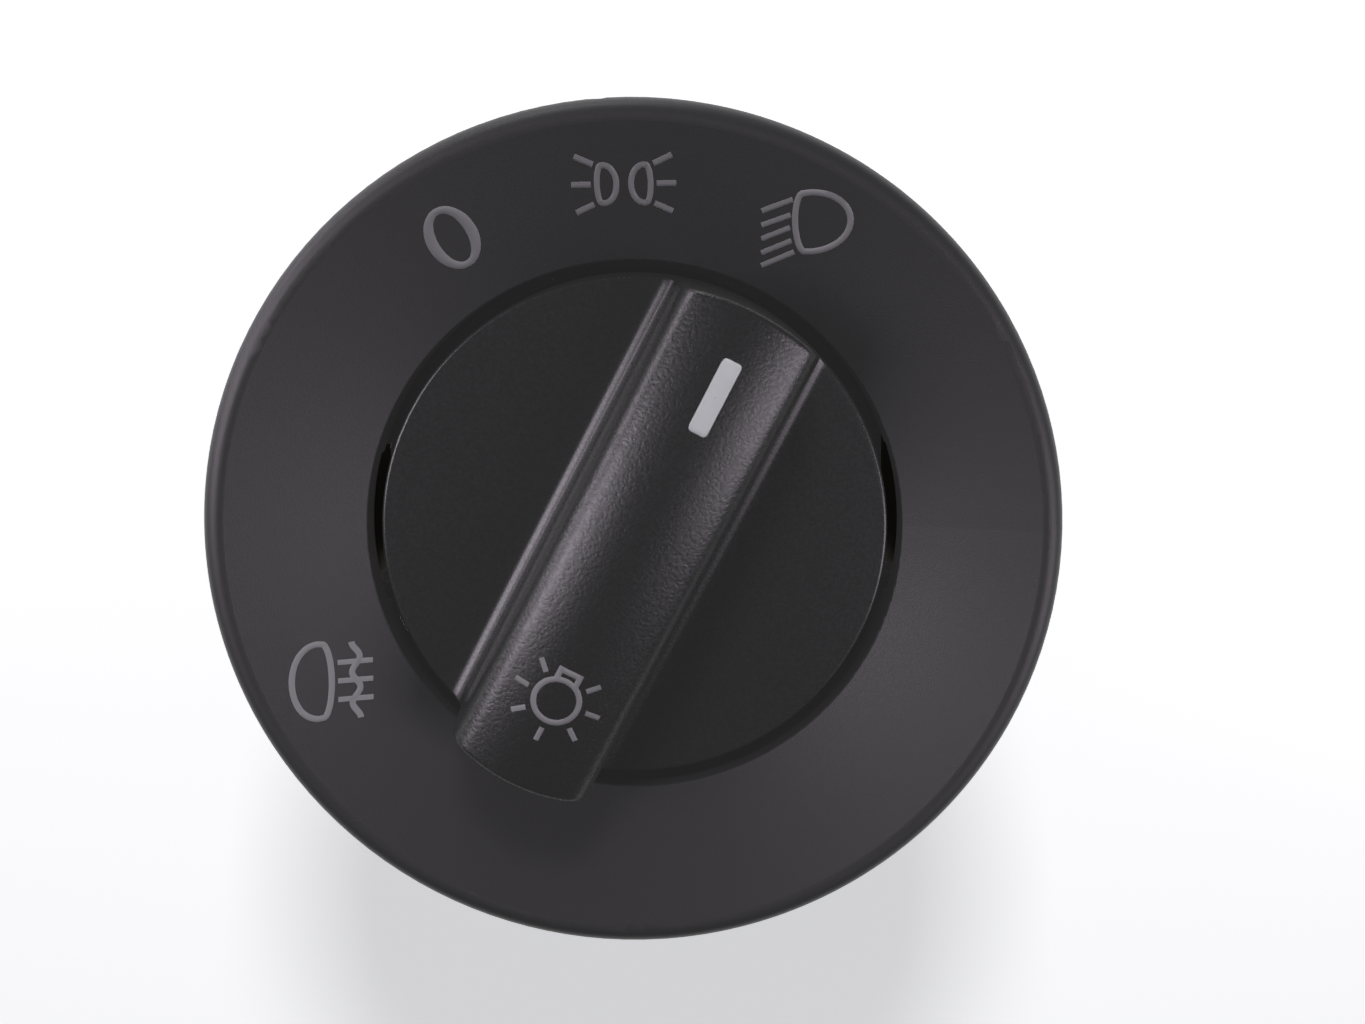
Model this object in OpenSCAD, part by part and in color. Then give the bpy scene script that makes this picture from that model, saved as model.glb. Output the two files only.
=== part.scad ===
// Rotary headlight switch of a car's dashboard.
// Origin at the centre of the round collar, in the plane of the panel that the bezel seats on.
// +Z points out of the panel to the driver, +Y is up and +X is right as the driver sees it.
// The knob stands at its headlamp place, pushed home.

/* [Bezel] */
// Outer diameter of the bezel
bezel_d = 78; // [75:0.5:84]
// Radius of the rounded rim
rim_round = 1.5; // [1.4:0.1:2]
// Height of the rim's crest above the panel
rim_crest = 4.7; // [4.4:0.1:5.2]
// Depth of the dish from the crest to the bezel's opening
dish_depth = 4.8; // [4.4:0.1:5]
// Wall of the bezel
bezel_wall = 1.2; // [1:0.05:1.4]
// Skin of the bezel over each light guide
guide_skin = 0.7; // [0.6:0.05:0.9]
// Gap round the knob
groove_w = 1.3; // [1:0.1:1.5]
// Wall of the lip round the opening
lip_wall = 1.2; // [1:0.1:1.4]
// Depth of the lip below the panel plane
lip_depth = 5; // [4.6:0.1:5.4]
// Width of each stiffening rib under the bezel
bezel_rib_w = 1; // [0.8:0.1:1.4]

/* [Knob] */
// Diameter of the knob's disc
knob_d = 47; // [46.4:0.1:47.6]
// Height of the grip bar above the disc
bar_h = 12.8; // [11:0.2:15]
// Width of the grip bar at its shoulders
bar_w = 13.4; // [12.8:0.1:14]
// Extra half width of the bar where it meets the disc
bar_draft = 0.3; // [0.2:0.1:0.6]
// Radius of the bar's crowned top
bar_crown_r = 16; // [14:0.5:24]
// Radius of the bar's shoulders
bar_shoulder_r = 2.8; // [2.2:0.1:3.2]
// Radius of the flare from the bar's flanks to the disc
bar_flare_r = 1.6; // [1.2:0.1:2.4]
// Rounding of the disc's and the bar's ends
knob_edge_r = 0.6; // [0.4:0.1:1]
// Rounding of the bezel's edge round the knob
opening_round = 0.3; // [0.2:0.05:0.5]
// Wall of the knob
knob_wall = 1.6; // [1.3:0.1:1.8]
// Height of the knob's skirt
skirt_h = 6.7; // [6.3:0.1:7.2]

/* [Pointer] */
// Inner end of the pointer window, from the axis
window_in = 12; // [11.8:0.1:12.6]
// Length of the pointer window
window_l = 7; // [5:0.1:7.4]
// Width of the pointer window
window_w = 1.9; // [1.6:0.1:2.2]
// Radius of the pointer window's corners
window_corner = 0.45; // [0.3:0.05:0.6]

/* [Motion] */
// Turn from one switch place to the next, in degrees
detent_step = 29.5; // [28:0.5:31]
// Pull of the knob to the rear fog lamp place
pull_travel = 4.7; // [4.2:0.1:5]
// Push of the knob that frees the switch from its panel
push_travel = 3.5; // [3.2:0.1:3.7]
// Turn of the release disc, in degrees
release_turn = 20; // [17:0.5:21]
// Inward travel of each retaining lug
lug_travel = 2.4; // [2.2:0.1:2.5]

/* [Collar] */
// Wall of the light guides
guide_wall = 1.4; // [1.2:0.1:1.5]
// Wall of the collar
collar_wall = 1.4; // [1.3:0.1:1.6]
// Thickest panel that the lugs hold
panel_t = 3.2; // [2.6:0.1:3.6]
// Width of each retaining lug
lug_w = 13.2; // [12.6:0.1:13.4]

/* [Inner pieces] */
// Thickness of the light board
board_t = 1.2; // [1:0.1:1.6]
// Thickness of the release disc
release_t = 1.6; // [1.4:0.1:2]
// Thickness of the lug plates
lug_t = 2; // [2:0.1:2.4]
// Thickness of the deck between the two chambers
deck_t = 1.8; // [1.5:0.1:2.4]
// Radius of the rotor
rotor_r = 21.5; // [21.2:0.1:21.7]
// Room round the rotor for the detent spring and the board pins
rotor_room = 4.6; // [4.5:0.1:5.5]
// Thickness of the rotor
rotor_t = 3.4; // [3:0.1:4]
// Height of the contact bridges
bridge_h = 2.7; // [2.5:0.1:3.2]
// Thickness of the contact plate
plate_t = 2.6; // [2.3:0.1:3]
// Radius of the slider's round shaft
slider_r = 4.4; // [4.3:0.05:4.5]
// Radius of the knob's shaft
shaft_r = 2.85; // [2.7:0.05:2.9]

/* [Connector] */
// Outer length of the connector shroud
shroud_l = 49.4; // [49:0.1:50]
// Outer width of the connector shroud
shroud_w = 20.8; // [20.4:0.1:21.4]
// Wall of the connector shroud
shroud_wall = 1.8; // [1.5:0.1:1.9]
// Depth of the connector socket
socket_depth = 12; // [10:0.5:16]
// Spacing of the contact blades in a row
blade_pitch = 3.1; // [3.05:0.01:3.15]
// Width of a contact blade
blade_w = 2; // [1.6:0.1:2.2]
// Thickness of a contact blade
blade_t = 0.64; // [0.5:0.02:0.8]

/* [Hidden] */
$fn = 96;
// Running and seating clearances
slide_gap = 0.1;
turn_gap = 0.08;
fit_gap = 0.2;
bite = 0.01;

// Radii, from the knob outwards
knob_r = knob_d/2;
dish_r = knob_r + groove_w;
lip_r = dish_r + lip_wall;
guide_r = lip_r + fit_gap;
guide_out_r = guide_r + guide_wall;
can_wall = 1.6;
can_step = 1.4;
rotor_fit = rotor_r + rotor_room + can_wall + can_step - collar_wall;
collar_in_r = max(guide_out_r + fit_gap, rotor_fit);
collar_r = collar_in_r + collar_wall;
bezel_r = bezel_d/2;
can_r = collar_r - can_step;
land_step = 0.4;
back_r = collar_r - land_step;
can_in_r = can_r - can_wall;
disc_r = knob_r + 0.7;
disc_in_r = 11;
hub_r = 7.2;
foot_r = 6.6;

// Heights, from the panel plane inwards
disc_z = rim_crest - dish_depth;
skirt_z = disc_z - skirt_h;
board_top = skirt_z - push_travel - 0.7;
board_z = board_top - board_t;
release_top = board_z - 0.4;
release_z = release_top - release_t;
lug_top = release_z - fit_gap;
lug_z = lug_top - lug_t;
deck_top = lug_z - slide_gap;
deck_z = deck_top - deck_t;
rotor_top = deck_z - fit_gap;
rotor_z = rotor_top - rotor_t;
track_z = rotor_z - bridge_h;
plate_z = track_z - plate_t;
fog_z = plate_z - pull_travel - 0.05;
cap_t = 2.2;
cap_z = plate_z - cap_t;
foot_t = 1.4;
fog_strip_t = 0.35;
slider_z = fog_z - fog_strip_t - foot_t;
cavity_z = slider_z - slide_gap;
socket_z = cavity_z - 4.15;
shroud_z = socket_z - socket_depth;

// Bezel section: the dish is a cone tangent to the rounded rim
rim_c = [bezel_r - rim_round, rim_crest - rim_round];
dish_run = rim_c - [dish_r, disc_z];
dish_a = atan2(dish_run.y, dish_run.x) + asin(rim_round/norm(dish_run));
function dish_height(r) = disc_z + (r - dish_r)*tan(dish_a);
function skin_under(r) = dish_height(r) - bezel_wall/cos(dish_a);
function guide_top(r) = dish_height(r) - guide_skin/cos(dish_a);
function skin_middle(r) = (dish_height(r) + max(0, skin_under(r)))/2;
function rim_tangent(r) = rim_c + r*[-sin(dish_a), cos(dish_a)];

// Places round the axis, in degrees from +X
side_lamp_a = 90;
head_lamp_a = side_lamp_a - detent_step;
off_a = side_lamp_a + detent_step;
fog_a = side_lamp_a + 115;
ring_symbols = [head_lamp_a, side_lamp_a, off_a];
symbol_angles = concat(ring_symbols, [fog_a]);
clip_angles = [32, 148, 235, 305];
cap_clip_angles = [45, 135, 225, 315];
pin_angles = [75, 105];
disc_rib_angles = [35, 55, 90, 125, 145, 215, 235, 270, 305, 325];
function apart(a, b) = abs((a - b + 540) % 360 - 180);
function clear_of(a, list, d) = min([for (b = list) apart(a, b)]) > d;

// Light guides and light board
guide_gap = 0.1;
finger_r = bezel_r - 5.4;
finger_a = 6.5;
led = [2, 1.25, 0.8];
led_r = (guide_r + guide_out_r)/2;
guide_foot_z = board_top + led.z + fit_gap;
pointer_led_r = window_in + 3.1;
resistor = [3.2, 1.6, 0.5];
resistor_r = (pointer_led_r + led_r)/2;
pin_r = can_in_r - 0.8;
pin_w = 0.6;

// Retaining lugs
lug_slope = lug_travel/(release_turn*PI/180);
lug_in = 13.4;
upright_x = collar_r - 2.2;
lug_pin_x = 21.8;
lug_pin_r = 1.2;
catch_z = -panel_t - land_step - 0.05;
nose_out = collar_r + lug_travel - 0.2;
spring_y = 4.6;
spring_slot = [14.6, 23.4];
post_x = [14.9, 16];
lug_window_w = lug_w + 0.8;

// Release feet and dogs: they meet only when the knob is pushed home at its off place
clutch_a = 16;
clutch_rest_a = 20;
clutch_r = [8.4, 10.6];
dog_a = clutch_rest_a + 2*detent_step - clutch_a - 1;

// Detent spring: a leaf across the rotor's edge, with a nose for the rotor's notches
leaf_r = rotor_r + 1.7;
leaf_half = 11.5;
notch_r = 2.5;

// Contact bridges and tracks: four bands of tracks round the axis
band_w = 1.6;
row_y = 4.6;
blade_x = [for (i = [0:4]) 8.9 + i*blade_pitch];
band_r = [for (x = blade_x) norm([x, row_y])];
track_t = 0.8;
side_bridge_a = 200;
head_bridge_a = 340;
cavity_r = 8.9;

// Knob shaft, slider and springs
shaft_z = disc_z - 18.9;
slider_top = skirt_z - 2.6;
flange_top = skirt_z + 2.8;
bore_r = shaft_r + 0.1;
bore_z = slider_z + 5.35;
barb = [1.6, 4.1, 1.9];
barb_z = slider_top - 4.2;
clip_z = rotor_z - 0.75;
clip_wire = 0.7;
clip_r = slider_r + 0.15;

// A ring between two radii and two heights
module ring(r1, r2, z1, z2) {
    translate([0, 0, z1]) difference() {
        cylinder(r = r2, h = z2 - z1);
        translate([0, 0, -1]) cylinder(r = r1, h = z2 - z1 + 2);
    }
}

// A section swept round the axis, half either side of an angle
module sweep(a, half) {
    rotate([0, 0, a - half]) rotate_extrude(angle = 2*half) children();
}

// A block of a ring, half either side of an angle
module sector(a, half, r1, r2, z1, z2) {
    sweep(a, half) translate([r1, z1]) square([r2 - r1, z2 - z1]);
}

// A block given by its two far corners
module block(a, b) {
    translate(a) cube(b - a);
}

module rounded_rect(l, w, r) {
    square([l - 2*r, w], center = true);
    square([l, w - 2*r], center = true);
    for (x = [-1, 1], y = [-1, 1]) translate([x*(l/2 - r), y*(w/2 - r)]) circle(r = r);
}

// Points of a closed tube round a coil about Z, with closed ends
function coil_point(t, r, h, turns) = [r*cos(360*turns*t), r*sin(360*turns*t), h*t];
function coil_ring(t, r, h, turns, wire, sides) =
    let (a = 360*turns*t, lift = atan2(h, 2*PI*r*turns), out = [cos(a), sin(a), 0],
        up = [sin(a)*sin(lift), -cos(a)*sin(lift), cos(lift)])
    [for (k = [0:sides - 1]) coil_point(t, r, h, turns)
        + wire/2*(cos(360*k/sides)*out + sin(360*k/sides)*up)];

module coil(r, h, turns, wire, steps, sides = 6) {
    n = round(turns*steps);
    points = [for (i = [0:n]) each coil_ring(i/n, r, h, turns, wire, sides)];
    walls = [for (i = [0:n - 1], k = [0:sides - 1]) let (m = (k + 1)%sides, j = i + 1) each
        [[i*sides + k, j*sides + k, j*sides + m], [i*sides + k, j*sides + m, i*sides + m]]];
    polyhedron(points, concat(walls, [[for (k = [0:sides - 1]) k],
        [for (k = [sides - 1:-1:0]) n*sides + k]]));
}

// Front: bezel, light guides and light board

module bezel_solid() {
    e = opening_round;
    edge = [dish_r + e, dish_height(dish_r + e) - e/cos(dish_a)];
    translate(rim_c) circle(r = rim_round);
    translate(edge) circle(r = e);
    polygon([[dish_r, edge.y], edge, edge + e*[-sin(dish_a), cos(dish_a)],
        rim_tangent(rim_round), rim_c, [bezel_r, rim_c.y], [bezel_r - 0.4, 0], [lip_r, 0],
        [lip_r, -lip_depth], [dish_r, -lip_depth]]);
}

// The hollow under the skin, grown by root into the skin and the rim
module bezel_pocket(root = 0) {
    wall = bezel_wall - root;
    round_in = rim_round - wall;
    translate(rim_c) circle(r = round_in);
    polygon([[lip_r, -lip_depth - 1], [lip_r, dish_height(lip_r) - wall/cos(dish_a)],
        rim_tangent(round_in), rim_c, [rim_c.x + round_in, rim_c.y],
        [rim_c.x + round_in, -lip_depth - 1]]);
}

// Ribs fill the hollow between the collar and the rim, and stand clear of the panel
module bezel_rib(a) {
    rotate([90, 0, a]) translate([0, 0, -bezel_rib_w/2]) linear_extrude(bezel_rib_w)
        intersection() {
            bezel_pocket(0.4);
            translate([collar_r + fit_gap, guide_gap]) square([bezel_r, rim_crest]);
        }
}

module bezel_clip(a) {
    foot = -lip_depth - 3;
    out = guide_out_r - 0.1;
    sweep(a, 7) polygon([[guide_r, skin_middle(guide_r)], [out, skin_middle(out)],
        [out, -lip_depth - fit_gap], [collar_in_r + 0.6, -lip_depth - 0.4],
        [out, foot + 0.4], [guide_r, foot]]);
}

// The skin is thinner over a light guide, so that its symbol lights up
module bezel_light_pocket(a) {
    end_r = finger_r + fit_gap;
    sweep(a, finger_a + 1) polygon([[guide_r, -1], [end_r, -1], [end_r, guide_top(end_r)],
        [guide_r, guide_top(guide_r)]]);
}

module bezel() color("#353337") {
    difference() {
        rotate_extrude() difference() {
            bezel_solid();
            bezel_pocket();
        }
        for (s = [0, 180]) rotate([0, 0, s])
            block([knob_r, -lug_window_w/2 - 0.2, -lip_depth - 1],
                [lip_r + 1, lug_window_w/2 + 0.2, catch_z + 0.3]);
        for (a = symbol_angles) bezel_light_pocket(a);
    }
    for (a = [0:15:345]) if (clear_of(a, symbol_angles, 10)) bezel_rib(a);
    for (a = clip_angles) bezel_clip(a);
}

// A light guide stands on a lamp and runs over the collar's edge, out under the bezel's skin
module light_guide(a) {
    under = -1;
    difference() {
        sweep(a, finger_a) polygon([[guide_r, guide_foot_z], [guide_out_r, guide_foot_z],
            [guide_out_r, under], [collar_r + fit_gap, under], [collar_r + fit_gap, guide_gap],
            [finger_r, guide_gap], [finger_r, guide_top(finger_r) - guide_gap],
            [guide_r, guide_top(guide_r) - guide_gap]]);
        for (s = [-1, 1])
            sector(a + s*finger_a, 2, guide_r - 1, guide_out_r + 1, guide_foot_z - 1, -3.9);
    }
}

// A web joins the three guides at the top
module symbol_light_guide() color("#e8edf0") {
    for (a = ring_symbols) light_guide(a);
    sector(side_lamp_a, detent_step, guide_r + 0.1, guide_out_r - 0.1, -3.4,
        skin_under(guide_r) - guide_gap - 0.1);
}

module fog_light_guide() color("#e8edf0") light_guide(fog_a);

module light_board() color("#1d2320") difference() {
    ring(disc_in_r + fit_gap, collar_in_r - fit_gap, board_z, board_top);
    for (s = [0, 180]) rotate([0, 0, s])
        block([disc_r, -lug_window_w/2, board_z - 1], [collar_r, lug_window_w/2, board_top + 1]);
    for (a = pin_angles) rotate([0, 0, a])
        block([pin_r - pin_w/2, -pin_w/2, board_z - 1], [pin_r + pin_w/2, pin_w/2, board_top + 1]);
}

// A chip lamp that lies across a radius of the board
module chip_led(a, r) color("#f3f0dc") {
    rotate([0, 0, a]) translate([r, 0, board_top]) {
        translate([-led.y/2, -led.x/2, 0]) cube([led.y, led.x, led.z*0.6]);
        translate([-led.y/2, -led.x*0.3, 0]) cube([led.y, led.x*0.6, led.z]);
    }
}

module led_off() chip_led(off_a, led_r);
module led_side() chip_led(side_lamp_a, led_r);
module led_head() chip_led(head_lamp_a, led_r);
module led_fog() chip_led(fog_a, led_r);
module pointer_led_1() chip_led(head_lamp_a, pointer_led_r);
module pointer_led_2() chip_led(side_lamp_a, pointer_led_r);
module pointer_led_3() chip_led(off_a, pointer_led_r);

// One series resistor for each lamp of the ring
module board_resistors() color("#1c1c1e") {
    for (a = symbol_angles) rotate([0, 0, a])
        translate([resistor_r, 0, board_top + resistor.z/2]) cube(resistor, center = true);
}

// Two pins carry the light board's current down to the contact plate
module board_pins() color("#c9b26a") {
    for (a = pin_angles) rotate([0, 0, a])
        block([pin_r - pin_w/2, -pin_w/2, track_z], [pin_r + pin_w/2, pin_w/2, board_top + 0.6]);
}

// Middle: housing, detent spring, contact plate and terminals

// The collar's land is as deep as the panel, and the wall below it stands back a little
module housing_shell() {
    rotate_extrude() polygon([[collar_in_r, 0], [collar_r, 0], [collar_r, -panel_t],
        [back_r, -panel_t - land_step], [back_r, board_z - 1], [back_r - 0.4, board_z - 1.6],
        [can_r, board_z - 1.6], [can_r, plate_z], [can_in_r, plate_z], [can_in_r, board_z],
        [collar_in_r, board_z]]);
    ring(hub_r + turn_gap, can_in_r + 0.1, deck_z, deck_top);
    for (a = disc_rib_angles)
        sector(a, 2.2, disc_r + slide_gap, can_in_r + 0.1, deck_top - bite, board_z);
    for (a = disc_rib_angles)
        sector(a, 2.2, disc_r - 1.2, can_in_r + 0.1, deck_top - bite, release_z - slide_gap);
}

module lug_guides() {
    for (y = [-1, 1]) {
        translate([0, y*(lug_w/2 + slide_gap + 0.6), 0])
            block([lug_in - 1, -0.6, deck_top - bite], [disc_r - 0.4, 0.6, lug_top + 0.1]);
        translate([0, y*spring_y, 0])
            block([post_x[0], -1.1, deck_top - bite], [post_x[1], 1.1, lug_top - fit_gap]);
    }
}

module rotor_stops() {
    gap = 0.5;
    for (a = [head_lamp_a - 6.5 - gap, off_a + 6.5 + gap])
        sector(a, 2.5, rotor_r + 0.5, can_in_r + 0.1, rotor_z, deck_z + bite);
}

module plate_ledges() {
    for (a = [0, 40, 140, 180, 225, 315])
        sector(a, 3, can_in_r - 1.4, can_in_r + 0.1, track_z, deck_z + bite);
}

module spring_posts() {
    for (x = [-1, 1]) translate([x*(leaf_half - 0.9), -leaf_r, 0]) difference() {
        block([-1, -1.4, rotor_z], [1, 1.1, deck_z + bite]);
        block([-1.1, -0.3, rotor_z - 1], [1.1, 0.3, rotor_top + bite]);
    }
}

module housing() color("#1f1f21") difference() {
    union() {
        housing_shell();
        for (s = [0, 180]) rotate([0, 0, s]) lug_guides();
        rotor_stops();
        plate_ledges();
        spring_posts();
        for (a = cap_clip_angles) sweep(a, 4.2) polygon([[can_r - 0.2, plate_z + 5],
            [can_r + 0.8, plate_z + 2.9], [can_r - 0.2, plate_z + 2.9]]);
    }
    for (s = [0, 180]) rotate([0, 0, s])
        block([disc_r - 0.4, -lug_window_w/2, deck_top],
            [collar_r + 1, lug_window_w/2, catch_z + 0.3]);
    for (a = symbol_angles)
        sector(a, finger_a + 1, collar_in_r - 1, collar_r + 1, -1.1, 1);
    for (a = clip_angles)
        sector(a, 8, collar_in_r - 0.2, collar_in_r + 0.75, -lip_depth - 3.2, -lip_depth - 0.1);
    for (a = pin_angles) rotate([0, 0, a])
        block([pin_r - pin_w/2, -pin_w/2, deck_z - 1], [pin_r + pin_w/2, pin_w/2, deck_top + 1]);
}

// The detent spring is a leaf with a half-round nose that drops into the rotor's notches
module detent_spring() color("#b9bcc0") {
    leaf = 0.45;
    nose_r = notch_r - fit_gap;
    translate([0, -leaf_r, rotor_z + fit_gap]) linear_extrude(rotor_t - fit_gap) {
        for (x = [-1, 1]) translate([x*(nose_r + leaf_half)/2, 0])
            square([leaf_half - nose_r + leaf, leaf], center = true);
        difference() {
            circle(r = nose_r);
            circle(r = nose_r - leaf);
            translate([-5, -10 - leaf/2]) square(10);
        }
    }
}

module contact_plate() color("#6b5f4a") difference() {
    ring(foot_r + 0.4, can_in_r - slide_gap, plate_z, track_z);
    all_terminals(1);
}

// A terminal: its track in the plate's face, and the blade that goes straight down from it.
// The plate's pockets are cut with rise, so that they reach past its face
module terminal(x, y, a1, a2, rise, pin_a = undef) color("#c4a24e") {
    r = norm([x, y]);
    sector((a1 + a2)/2, (a2 - a1)/2, r - band_w/2, r + band_w/2, track_z - track_t,
        track_z + rise);
    if (!is_undef(pin_a)) rotate([0, 0, pin_a])
        block([r, -0.8, track_z - track_t], [pin_r + 0.6, 0.8, track_z + rise]);
    blade(x, y, track_z - track_t + bite);
}

module blade(x, y, top) {
    tip = 1;
    translate([x, y, 0]) {
        block([-blade_w/2, -blade_t/2, shroud_z + 2.5 + tip], [blade_w/2, blade_t/2, top]);
        translate([0, blade_t/2, shroud_z + 2.5]) rotate([90, 0, 0]) linear_extrude(blade_t)
            polygon([[-blade_w/2 + 0.5, 0], [blade_w/2 - 0.5, 0], [blade_w/2, tip + bite],
                [-blade_w/2, tip + bite]]);
    }
}

// The fog terminals lie in the plate's under face, where the pulled slider meets them
module fog_terminal(s, rise) color("#c4a24e") {
    sector(90 - 90*s, 36, foot_r + 0.8, band_r[0] + 0.6, plate_z - rise, plate_z + track_t);
    blade(s*blade_x[0], -row_y, plate_z + track_t - bite);
}

module terminal_supply(rise = 0) terminal(blade_x[2], -row_y, 196, 402, rise);
module terminal_side(rise = 0) terminal(-blade_x[1], -row_y, 196, 236, rise);
module terminal_off(rise = 0) terminal(blade_x[1], -row_y, 248, 343, rise);
module terminal_head(rise = 0) terminal(blade_x[3], -row_y, 330, 352, rise);
module terminal_day(rise = 0) terminal(blade_x[3], row_y, 5, 44, rise);
module terminal_fog_in(rise = 0) fog_terminal(1, rise);
module terminal_fog_out(rise = 0) fog_terminal(-1, rise);
module terminal_dimmer(rise = 0) terminal(blade_x[4], row_y, 8, 78, rise, pin_angles[0]);
module terminal_ground(rise = 0) terminal(-blade_x[4], row_y, 102, 172, rise, pin_angles[1]);

module all_terminals(rise = 0) {
    terminal_supply(rise);
    terminal_side(rise);
    terminal_off(rise);
    terminal_head(rise);
    terminal_day(rise);
    terminal_fog_in(rise);
    terminal_fog_out(rise);
    terminal_dimmer(rise);
    terminal_ground(rise);
}

// Back: the cap that closes the housing, with the connector shroud moulded on it

module cap_clip(a) {
    r1 = can_r + 0.15;
    r2 = can_r + 1;
    difference() {
        union() {
            sector(a, 7, r1, r2, cap_z, plate_z + 6.4);
            sector(a, 7, can_r - 1, r2, cap_z, cap_z + 1.6);
        }
        sector(a, 4.6, r1 - 0.5, r2 + 1, plate_z + 2.7, plate_z + 5.1);
    }
}

module connector_base() color("#26262a") {
    difference() {
        union() {
            translate([0, 0, cap_z]) cylinder(r = can_r, h = cap_t);
            translate([0, 0, shroud_z]) linear_extrude(cap_z - shroud_z + bite)
                rounded_rect(shroud_l, shroud_w, 2);
            latch();
        }
        translate([0, 0, cavity_z]) cylinder(r = cavity_r, h = plate_z - cavity_z + 1);
        translate([0, 0, shroud_z - 1]) linear_extrude(socket_depth + 1)
            rounded_rect(shroud_l - 2*shroud_wall, shroud_w - 2*shroud_wall, 0.8);
        all_terminals();
    }
    for (x = [-14, 9]) translate([x, 0, 0])
        block([-0.8, shroud_w/2 - shroud_wall - 1.2, shroud_z + 1],
            [0.8, shroud_w/2 - shroud_wall + bite, socket_z + bite]);
    for (a = cap_clip_angles) cap_clip(a);
}

// The ramp that the plug's latch snaps over
module latch() {
    translate([-4, -shroud_w/2 + bite, shroud_z]) rotate([90, 0, 90])
        linear_extrude(8) polygon([[0, 2], [-1.5, 5], [-1.5, 6], [0, 6]]);
}

// Turning pieces: rotor, contact bridges and the clip that holds the slider's places

module rotor() color("#d9d6cc") difference() {
    union() {
        translate([0, 0, rotor_z]) cylinder(r = rotor_r, h = rotor_t);
        translate([0, 0, track_z + 0.6]) cylinder(r = hub_r, h = release_z + 1 - track_z - 0.6);
        sector(head_lamp_a, 4, rotor_r - 0.2, can_in_r - 1.6, rotor_z, rotor_top);
        for (a = [side_bridge_a, head_bridge_a]) rotate([0, 0, a])
            translate([bridge_mid(a), 0, rotor_z - 0.9]) cylinder(r = 0.6, h = 1);
    }
    translate([0, 0, track_z]) cylinder(r = slider_r + turn_gap, h = 20);
    for (s = [0, 180]) rotate([0, 0, s])
        block([0, -1, track_z], [slider_r + 1.1, 1, 0]);
    ring(slider_r - 1, slider_r + 0.7, track_z, clip_z + clip_wire/2);
    for (i = [0:2]) rotate([0, 0, 270 - i*detent_step])
        translate([leaf_r, 0, rotor_z - 1]) cylinder(r = notch_r, h = rotor_t + 2);
    for (a = [20, 65, 110, 155, 270])
        sector(a, 15, hub_r + 1.6, rotor_r - 4, rotor_z - 1, rotor_top - 1.4);
}

function bridge_mid(a) = a == side_bridge_a ? (band_r[1] + band_r[2])/2 : (band_r[2] + band_r[3])/2;

// A sprung bridge with a nose on each of two neighbouring tracks, held on a peg of the rotor
module contact_bridge(a, r1, r2) color("#d08a4e") {
    t = 0.3;
    low = track_z + 0.04;
    high = rotor_z - t - 0.02;
    m = (r1 + r2)/2;
    under = [[r1 - 1.1, low + 0.8], [r1 - 0.2, low], [r1 + 0.2, low], [m - 0.7, high],
        [m + 0.7, high], [r2 - 0.2, low], [r2 + 0.2, low], [r2 + 1.1, low + 0.8]];
    over = [for (i = [len(under) - 1:-1:0]) under[i] + [0, t]];
    rotate([0, 0, a]) difference() {
        translate([0, 1.5, 0]) rotate([90, 0, 0]) linear_extrude(3) polygon(concat(under, over));
        translate([m, 0, track_z]) cylinder(r = 0.65, h = 4);
    }
}

module side_bridge() contact_bridge(side_bridge_a, band_r[1], band_r[2]);
module head_bridge() contact_bridge(head_bridge_a, band_r[2], band_r[3]);

// The clip's wire lies in a groove of the slider and gives when the knob is pulled
module detent_clip() color("#b9bcc0") {
    rotate([0, 0, 20]) rotate_extrude(angle = 320) translate([clip_r, clip_z])
        circle(r = clip_wire/2, $fn = 24);
}

// Sliding pieces: pull slider, fog bridge and return spring

module pull_slider() color("#c9c4b4") difference() {
    union() {
        translate([0, 0, slider_z]) cylinder(r = slider_r, h = slider_top - slider_z);
        translate([0, 0, slider_z]) cylinder(r = foot_r, h = foot_t);
        for (s = [0, 180]) rotate([0, 0, s])
            block([slider_r - 1, -0.9, rotor_top - 3], [slider_r + 1, 0.9, rotor_top + 5]);
    }
    translate([0, 0, bore_z]) cylinder(r = bore_r, h = slider_top - bore_z + 1);
    for (s = [0, 180]) rotate([0, 0, s])
        block([-barb.x/2 - slide_gap, 1, barb_z - barb.z - push_travel - 1.3],
            [barb.x/2 + slide_gap, slider_r + 1, barb_z + slide_gap]);
    for (z = [clip_z, clip_z - pull_travel])
        ring(clip_r - clip_wire/2 - 0.05, slider_r + 1, z - clip_wire/2 - 0.1,
            z + clip_wire/2 + 0.1);
}

// Two sprung arms lie on the slider's foot; pulled out, they join the fog terminals
module fog_bridge() color("#d08a4e") {
    z = fog_z - fog_strip_t;
    rotate([0, 0, -detent_step]) difference() {
        union() {
            translate([0, 0, z]) cylinder(r = foot_r - 0.3, h = fog_strip_t);
            block([-cavity_r + 0.4, -1.5, z], [cavity_r - 0.4, 1.5, z + fog_strip_t]);
        }
        translate([0, 0, z - 1]) cylinder(r = slider_r, h = 3);
    }
}

module return_spring() color("#b9bcc0") {
    wire = 0.56;
    low = bore_z + wire/2;
    translate([0, 0, low]) coil(shaft_r - 0.6, shaft_z - wire/2 - low, 7, wire, 12);
}

// Knob, its carrier and the pointer's light guide, along +X and turned to the headlamp place

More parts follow.
